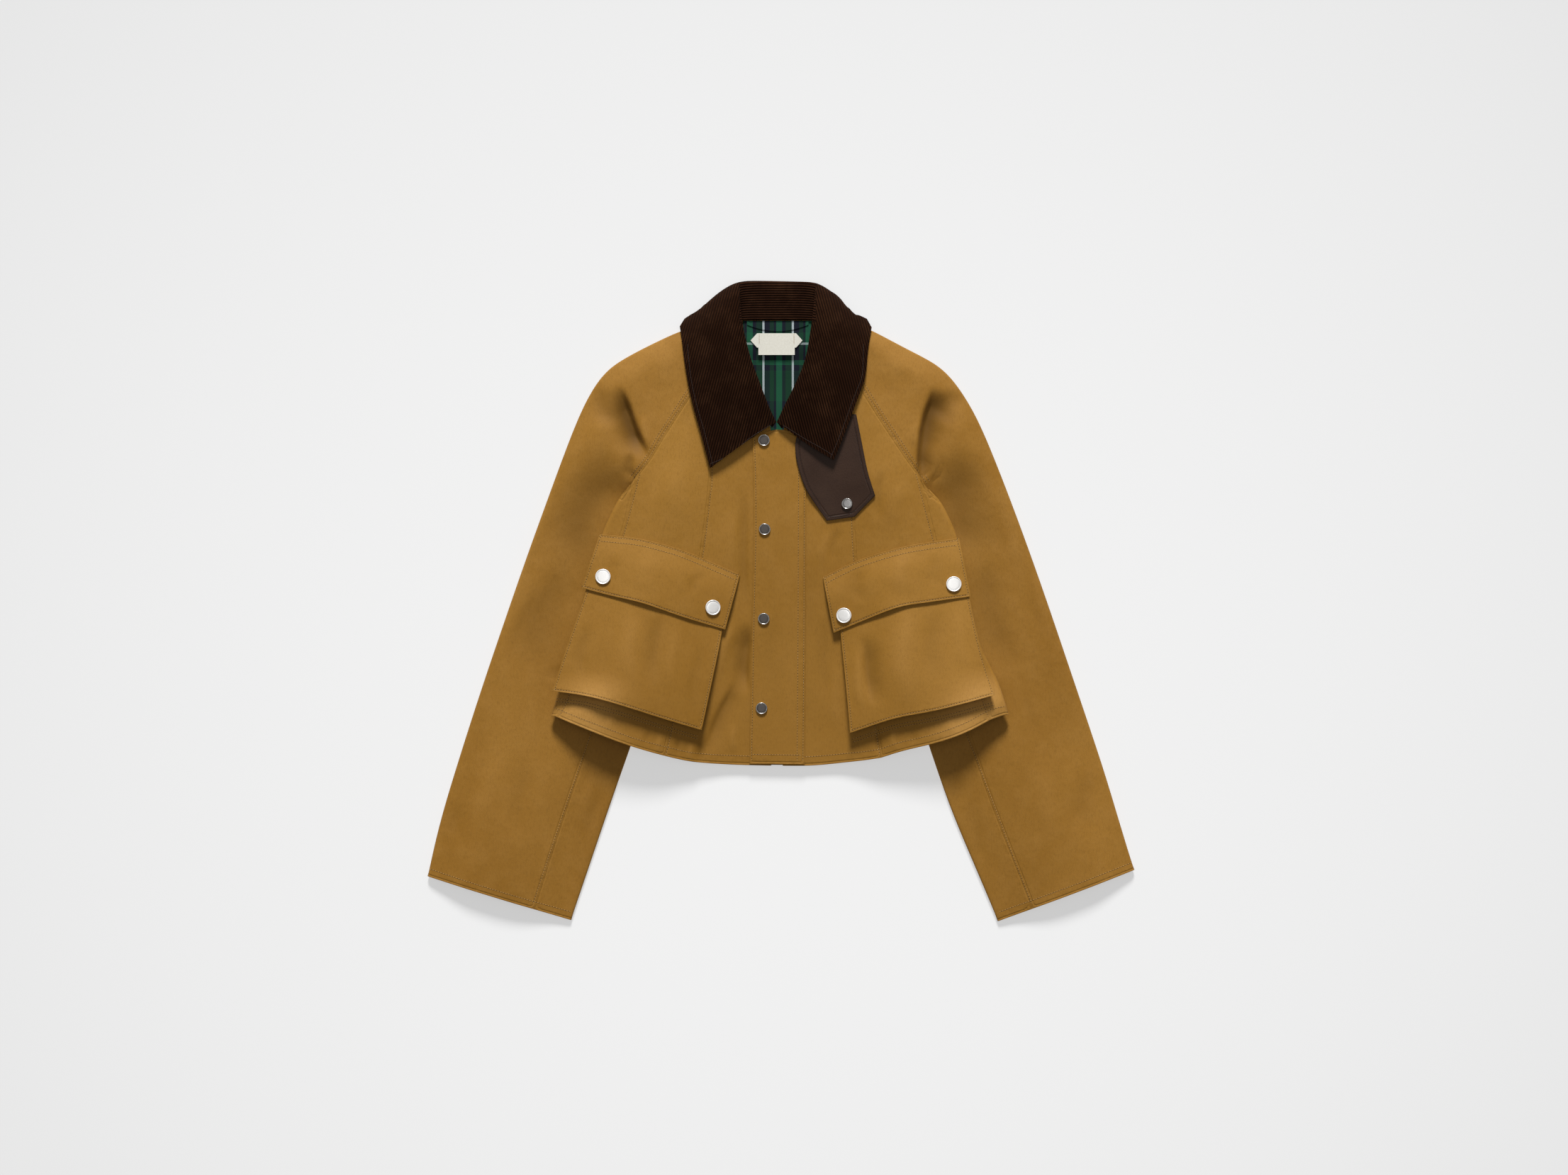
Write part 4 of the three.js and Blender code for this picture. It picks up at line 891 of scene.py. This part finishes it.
# Sewing: each stitch is a small capsule of thread laid on the cloth below it, with a small dark disc of painted
# shade at each needle hole

SMOOTHING_STEPS = 24


def cloth_tree(nodes):
    """The named cloth pieces as one surface to lay stitches on."""
    vertices = []
    polygons = []
    for node in nodes:
        mesh = cloth[node].data
        start = len(vertices)
        vertices += [vertex.co.copy() for vertex in mesh.vertices]
        polygons += [[start + index for index in polygon.vertices] for polygon in mesh.polygons]
    return BVHTree.FromPolygons(vertices, polygons)


def resampled(points, pitch):
    """Points a pitch apart along a smooth line through the given ones."""
    knots = [Vector(point) for point in points]
    dense = []
    for i in range(len(knots) - 1):
        before = knots[max(i - 1, 0)]
        after = knots[min(i + 2, len(knots) - 1)]
        for step in range(SMOOTHING_STEPS):
            t = step / SMOOTHING_STEPS
            a, b = knots[i], knots[i + 1]
            dense.append(
                0.5 * ((2 * a) + (b - before) * t + (2 * before - 5 * a + 4 * b - after) * t * t
                       + (3 * a - before - 3 * b + after) * t**3)
            )
    dense.append(knots[-1])
    placed = [dense[0]]
    left = pitch
    for a, b in zip(dense, dense[1:]):
        length = (b - a).length
        while length >= left > 0 and length > 0:
            a = a.lerp(b, left / length)
            placed.append(a)
            length = (b - a).length
            left = pitch
        left -= length
    return placed


def shifted(points, distance):
    """The line moved sideways, to its left as it runs."""
    moved = []
    for i, point in enumerate(points):
        a = Vector(points[max(i - 1, 0)])
        b = Vector(points[min(i + 1, len(points) - 1)])
        along = (b - a).normalized()
        moved.append((point[0] - along.y * distance, point[1] + along.x * distance))
    return moved


def small_form(name, segments, rings):
    """A round form along X, one millimetre long and one across, its faces smooth."""
    bm = bmesh.new()
    lie_down = Matrix.Rotation(math.pi / 2, 4, "Y")
    bmesh.ops.create_uvsphere(bm, u_segments=segments, v_segments=rings, radius=0.5, matrix=lie_down)
    for face in bm.faces:
        face.smooth = True
    return mesh_of(bm, name)


STITCH = small_form("stitch", 6, 4)
STITCH_FLATNESS = 0.8
# A flat dark disc of painted shade at each needle hole
HOLE_SHADE = small_form("hole", 5, 3)
HOLE_SHADE_SIZE = (1.2, 1.0, 0.17)
# Stitches are laid from this height in metres, on cloth that faces upward by at least the share
CAST_HEIGHT = 0.2
LOWEST_FACING = 0.3


def sew(name, lines, nodes, materials, width=STITCH_WIDTH, pitch=STITCH_PITCH):
    """One joined piece of all the stitches along some lines and, between them, small dark discs of painted shade
    for the needle holes, each laid on the named cloth."""
    tree = cloth_tree(nodes)
    bm = bmesh.new()

    def put(form, place, material_index):
        first_vertex = len(bm.verts)
        first_face = len(bm.faces)
        bm.from_mesh(form)
        bm.verts.ensure_lookup_table()
        bm.faces.ensure_lookup_table()
        bmesh.ops.transform(bm, matrix=place, verts=bm.verts[first_vertex:])
        for face in bm.faces[first_face:]:
            face.material_index = material_index

    for line in lines:
        places = resampled(line, pitch)
        for a, b in zip(places, places[1:]):
            along = Vector((b.x - a.x, b.y - a.y, 0)).normalized()
            middle = (a + b) / 2
            thread_size = (STITCH_LENGTH * (b - a).length / STITCH_PITCH, width, width * STITCH_FLATNESS)
            for form, point, size, rise, index in (
                (STITCH, middle, thread_size, STITCH_RISE, 0), (HOLE_SHADE, a, HOLE_SHADE_SIZE, 0.0, 1)
            ):
                start = Vector((point.x * MM, (point.y + Y_SHIFT) * MM, CAST_HEIGHT))
                hit, normal, _, _ = tree.ray_cast(start, Vector((0, 0, -1)))
                if hit is None or normal.z < LOWEST_FACING:
                    continue
                flat = (along - normal * along.dot(normal)).normalized()
                across = normal.cross(flat)
                turn = Matrix((flat * size[0], across * size[1], normal * size[2])).transposed()
                place = Matrix.Translation(hit + normal * rise * MM) @ (turn * MM).to_4x4()
                put(form, place, index)
    obj = object_of(bm, name, materials)
    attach(obj, "root")


# Seam and edge lines, in millimetres. Columns: x, y
LINES = {
    "left": {
        "raglan": [(-96, 281), (-112.5, 257), (-131, 228), (-147.9, 201.7), (-163.2, 175.3), (-184, 149)],
        "princess": [
            (-87.8, 289), (-86.9, 163), (-89.6, 127.8), (-98.7, 56.1), (-120, -60), (-136.7, -157.1),
            (-144.1, -189),
        ],
        "side": [(-176.5, 157), (-196.4, 82), (-230, -20), (-264, -117.4), (-276, -141)],
        "under": [(-229, -150), (-248, -205), (-268.2, -262.9), (-288, -322), (-306.5, -378)],
        "cuff": [(-436, -331), (-350, -358), (-259, -385)],
        "flap_top": [(-224, 83.2), (-185.7, 79.5), (-161.1, 75), (-126.7, 65.3), (-98.4, 54.2), (-51, 33.6)],
        "flap_bottom": [
            (-245.8, 17.4), (-207.5, 7.2), (-172.3, -0.7), (-137.1, -13), (-104.9, -23.6), (-69.3, -34),
        ],
        "flap_start": [(-224, 83.2), (-245.8, 17.4)],
        "flap_end": [(-51, 33.6), (-69.3, -34)],
        "face_start": [(-240.1, 14.3), (-262, -50), (-281.4, -109.8)],
        "face_bottom": [(-281.4, -109.8), (-239.5, -115.1), (-199.1, -126.1), (-145.3, -143.6), (-98.4, -158.2)],
        "face_end": [(-73.1, -35.9), (-86, -100), (-98.4, -158.2)],
    },
    "right": {
        "raglan": [(86, 283), (99.6, 264.2), (121, 230), (139.2, 202.6), (156, 177), (181, 144)],
        "princess": [(84, 284), (86, 175), (89.1, 101.8), (91.7, 51.2), (104, -60), (124, -191)],
        "side": [(168.5, 158), (189.4, 77.2), (220, -30), (250.1, -120.7), (258, -144)],
        "under": [(222, -150), (244, -205), (266.8, -264.7), (288, -322), (310, -378)],
        "cuff": [(435.5, -323), (350, -355), (267, -386)],
        "flap_top": [(52.1, 30.3), (91.3, 49.6), (140.1, 65.3), (178.8, 72.9), (219.9, 78.5)],
        "flap_bottom": [(65.3, -38.1), (96.5, -25.3), (142.7, -6.9), (178.8, -0.7), (233.8, 6.8)],
        "flap_start": [(52.1, 30.3), (59.1, -6.9), (65.3, -38.1)],
        "flap_end": [(219.9, 78.5), (233.8, 6.8)],
        "face_start": [(73.8, -36.8), (77.2, -69.1), (82, -118.2), (85.5, -161.7)],
        "face_bottom": [(85.5, -161.7), (114.6, -151.7), (142.7, -142.4), (194.7, -132.4), (263, -114.2)],
        "face_end": [(232.1, 5.7), (246.2, -58.8), (263, -114.2)],
    },
}
HEM_LINE = [
    (-284.1, -140.9), (-239.5, -158.2), (-188.4, -177.3), (-145.3, -189.5), (-104.9, -198.4), (-40.3, -202.2),
    (29.2, -203.1), (82, -198.7), (121.6, -193.4), (148, -184.6), (192, -173.6), (230.7, -159.5), (260.4, -144),
    (281.5, -139.1),
]
PLACKET_LEFT = [(-35, 200), (-33.5, 96), (-36.2, -38.5), (-38.9, -198)]
PLACKET_RIGHT = [(31, 200), (30.5, 96), (30, -38.5), (28.9, -199)]
TAB_EDGE = [
    (24, 222), (19, 205), (18.4, 179.1), (28.3, 144.9), (40.7, 123.4), (56.9, 101.5), (90.8, 106.4),
    (115.3, 131.3), (107.3, 159.5), (100.1, 195.5), (95, 222),
]
LEAF_EDGES = [
    [(-12, 214), (-36.8, 198), (-61, 178), (-87.8, 165.3)],
    [(-87.8, 165.3), (-93.5, 188), (-99.5, 211), (-108, 240), (-115, 272), (-119, 304), (-120, 322)],
    [(1, 214), (28, 197), (46, 187), (64.9, 175.3)],
    [(64.9, 175.3), (77, 204), (89.1, 236.9), (97, 258), (104.5, 278), (106, 302), (106.5, 320)],
]
PLACKET_FOOT = [(-36, -189), (28, -190)]
LABEL_SEWING = [[(-27, 331), (-27, 317)], [(16, 331), (16, 317)]]
# How far each row of stitches lies from its seam or edge, in millimetres
EDGE_INSET = 2.2
TOPSTITCH = 1.8
SECOND_ROW = 6.0
GUSSET_ROWS = (9, 12.5)
HEM_DEPTH = 11
PLACKET_LEFT_ROW = 2.4
PLACKET_RIGHT_ROWS = (1.8, 9)
TAB_INSET = 5
LEAF_INSET = 4.5
LABEL_STITCH = 0.4
LABEL_PITCH = 2.0

# Each sewing: its thread, then the darker colour of the painted shade at its needle holes
TAN_SEWING = (TAN_THREAD, NEEDLE_HOLE_SHADE)
BROWN_SEWING = (BROWN_THREAD, BROWN_THREAD)
CORD_SEWING = (CORD_THREAD, BROWN_THREAD)
CREAM_SEWING = (CREAM_THREAD, TAN_THREAD)
FRONTS = [f"{name}_{side}" for side in SIDES for name in ("front_centre", "front_mid", "side")]
for side, outward in (("left", -1), ("right", 1)):
    lines = LINES[side]
    sleeve = [f"sleeve_upper_{side}", f"sleeve_under_{side}"]
    rows = {
        "seam": ([("princess", -outward * TOPSTITCH), ("side", -outward * TOPSTITCH)], FRONTS),
        "raglan": ([("raglan", outward * TOPSTITCH), ("raglan", outward * SECOND_ROW)], FRONTS + sleeve),
        "sleeve": ([("under", outward * TOPSTITCH), ("cuff", 0)], sleeve),
        "flap": (
            [
                ("flap_top", -EDGE_INSET), ("flap_top", -EDGE_INSET - SECOND_ROW), ("flap_bottom", EDGE_INSET),
                ("flap_start", EDGE_INSET), ("flap_end", -EDGE_INSET),
            ],
            [f"pocket_flap_{side}"],
        ),
        "pocket": (
            [("face_start", EDGE_INSET), ("face_end", -EDGE_INSET), ("face_bottom", EDGE_INSET)],
            [f"pocket_face_{side}"],
        ),
        "gusset": ([("face_bottom", -row) for row in GUSSET_ROWS], FRONTS),
    }
    for name, (moves, nodes) in rows.items():
        sewn = [shifted(lines[line], distance) for line, distance in moves]
        sew(f"{name}_stitches_{side}", sewn, nodes, TAN_SEWING)
sew("hem_stitches", [shifted(HEM_LINE, HEM_DEPTH)], FRONTS, TAN_SEWING)
placket_rows = [shifted(PLACKET_LEFT, PLACKET_LEFT_ROW)]
placket_rows += [shifted(PLACKET_RIGHT, -row) for row in PLACKET_RIGHT_ROWS]
sew("placket_stitches", placket_rows + [PLACKET_FOOT], ["placket"], TAN_SEWING)
sew("tab_stitches", [shifted(TAB_EDGE, TAB_INSET)], ["throat_tab"], BROWN_SEWING)
leaf_insets = (-LEAF_INSET, -LEAF_INSET, LEAF_INSET, LEAF_INSET)
leaf_rows = [shifted(edge, inset) for edge, inset in zip(LEAF_EDGES, leaf_insets)]
sew("collar_stitches", leaf_rows, ["collar"], CORD_SEWING, width=HEAVY_STITCH)
sew(
    "label_stitches", LABEL_SEWING, ["neck_label"], CREAM_SEWING,
    width=LABEL_STITCH, pitch=LABEL_PITCH,
)

# What each sheet was cut to. Columns: node, how it is held, width and length in metres, area in square
# metres, what it rests on
SHEETS = [
    ("back", "laid", 0.26, 0.56, 0.126, ["floor"]),
    ("placket", "laid", 0.07, 0.42, 0.028, ["front_centre_left", "front_centre_right"]),
    ("collar", "folded", 0.25, 0.52, 0.053, ["back", "front_centre_left", "front_centre_right"]),
    ("throat_tab", "laid", 0.10, 0.14, 0.0101, ["front_centre_right", "front_mid_right"]),
    ("back_lining", "laid", 0.095, 0.146, 0.011, ["back"]),
    ("neck_label", "laid", 0.065, 0.027, 0.0015, ["back_lining"]),
]
for side in SIDES:
    SHEETS += [
        (f"front_centre_{side}", "laid", 0.14, 0.53, 0.047, ["back"]),
        (f"front_mid_{side}", "laid", 0.16, 0.48, 0.045, ["back", f"side_{side}"]),
        (f"side_{side}", "folded", 0.18, 0.43, 0.049, [f"sleeve_upper_{side}", "floor"]),
        (f"sleeve_upper_{side}", "folded", 0.38, 0.82, 0.189, ["floor"]),
        (f"sleeve_under_{side}", "laid", 0.14, 0.57, 0.046, ["floor"]),
        (f"pocket_face_{side}", "laid", 0.18, 0.21, 0.030, [f"front_mid_{side}"]),
        (f"pocket_gusset_{side}", "folded", 0.02, 0.55, 0.0045, [f"front_mid_{side}"]),
        (f"pocket_flap_{side}", "laid", 0.19, 0.085, 0.0137, [f"pocket_face_{side}"]),
    ]


# Floor, light and camera

# The floor's white, its own glow of painted light, and how fast both are painted darker with the square of the
# distance in metres
FLOOR_WHITE = 0.40
FLOOR_GLOW = 0.492
FLOOR_FALL = 0.066
FLOOR_HALF = 6.0


def floor_material():
    """A pale sweep that glows a little, painted light from within, so that shadows on it stay light. It is
    painted darker outwards.
    """
    material, tree, shader = new_material("pale_floor", 0.9)
    point = object_point(tree)
    both = {0: point, 1: point}
    square = node_of(tree, "ShaderNodeVectorMath", both, operation="DOT_PRODUCT").outputs["Value"]
    keep = minus(tree, 1.0, times(tree, square, FLOOR_FALL), clamp=True)
    colour = mix_colour(tree, keep, (0, 0, 0, 1), (FLOOR_WHITE, FLOOR_WHITE, FLOOR_WHITE, 1))
    glow = mix_colour(tree, keep, (0, 0, 0, 1), (FLOOR_GLOW, FLOOR_GLOW, FLOOR_GLOW, 1))
    link_shader(tree, shader, Base_Color=colour, Emission_Color=glow)
    shader.inputs["Emission Strength"].default_value = 1.0
    shader.inputs["Specular IOR Level"].default_value = 0.0
    return material


def add_floor():
    bm = bmesh.new()
    bmesh.ops.create_grid(bm, x_segments=1, y_segments=1, size=FLOOR_HALF)
    object_of(bm, "floor", [floor_material()])


CAMERA_HEIGHT = 5.0
VIEW_WIDTH = 1.9466
SENSOR = 36.0
CAMERA_PLACE = (0.0037, 0.0169)
FARTHEST_SEEN = 50


def add_camera():
    data = bpy.data.cameras.new("camera")
    data.sensor_width = SENSOR
    data.lens = SENSOR * CAMERA_HEIGHT / VIEW_WIDTH
    data.clip_end = FARTHEST_SEEN
    camera = bpy.data.objects.new("camera", data)
    camera.location = (*CAMERA_PLACE, CAMERA_HEIGHT)
    bpy.context.scene.collection.objects.link(camera)
    bpy.context.scene.camera = camera


KEY_ELEVATION = math.radians(30)
KEY_STRENGTH = 4.25
KEY_SPREAD = math.radians(15)
FILL_HEIGHT = 7.0
FILL_SIZE = 5.0
FILL_POWER = 74
SURROUND = 0.18
SURROUND_WHITE = (1.0, 0.995, 0.985, 1)


def add_key():
    """A distant softbox beyond the neck. Shadows fall towards the hem."""
    data = bpy.data.lights.new("key", "SUN")
    data.energy = KEY_STRENGTH
    data.angle = KEY_SPREAD
    key = bpy.data.objects.new("key", data)
    toward = Vector((0.0, math.cos(KEY_ELEVATION), math.sin(KEY_ELEVATION)))
    key.rotation_euler = toward.to_track_quat("Z", "Y").to_euler()
    bpy.context.scene.collection.objects.link(key)


def add_overhead():
    """A broad round light straight above."""
    data = bpy.data.lights.new("overhead", "AREA")
    data.shape = "DISK"
    data.size = FILL_SIZE
    data.energy = FILL_POWER
    overhead = bpy.data.objects.new("overhead", data)
    overhead.location = (0, 0, FILL_HEIGHT)
    bpy.context.scene.collection.objects.link(overhead)


def add_surround():
    world = bpy.data.worlds.new("studio")
    world.use_nodes = True
    background = world.node_tree.nodes["Background"]
    background.inputs["Color"].default_value = SURROUND_WHITE
    background.inputs["Strength"].default_value = SURROUND
    bpy.context.scene.world = world


add_floor()
add_key()
add_overhead()
add_camera()
add_surround()
bpy.context.scene.view_settings.view_transform = "Standard"
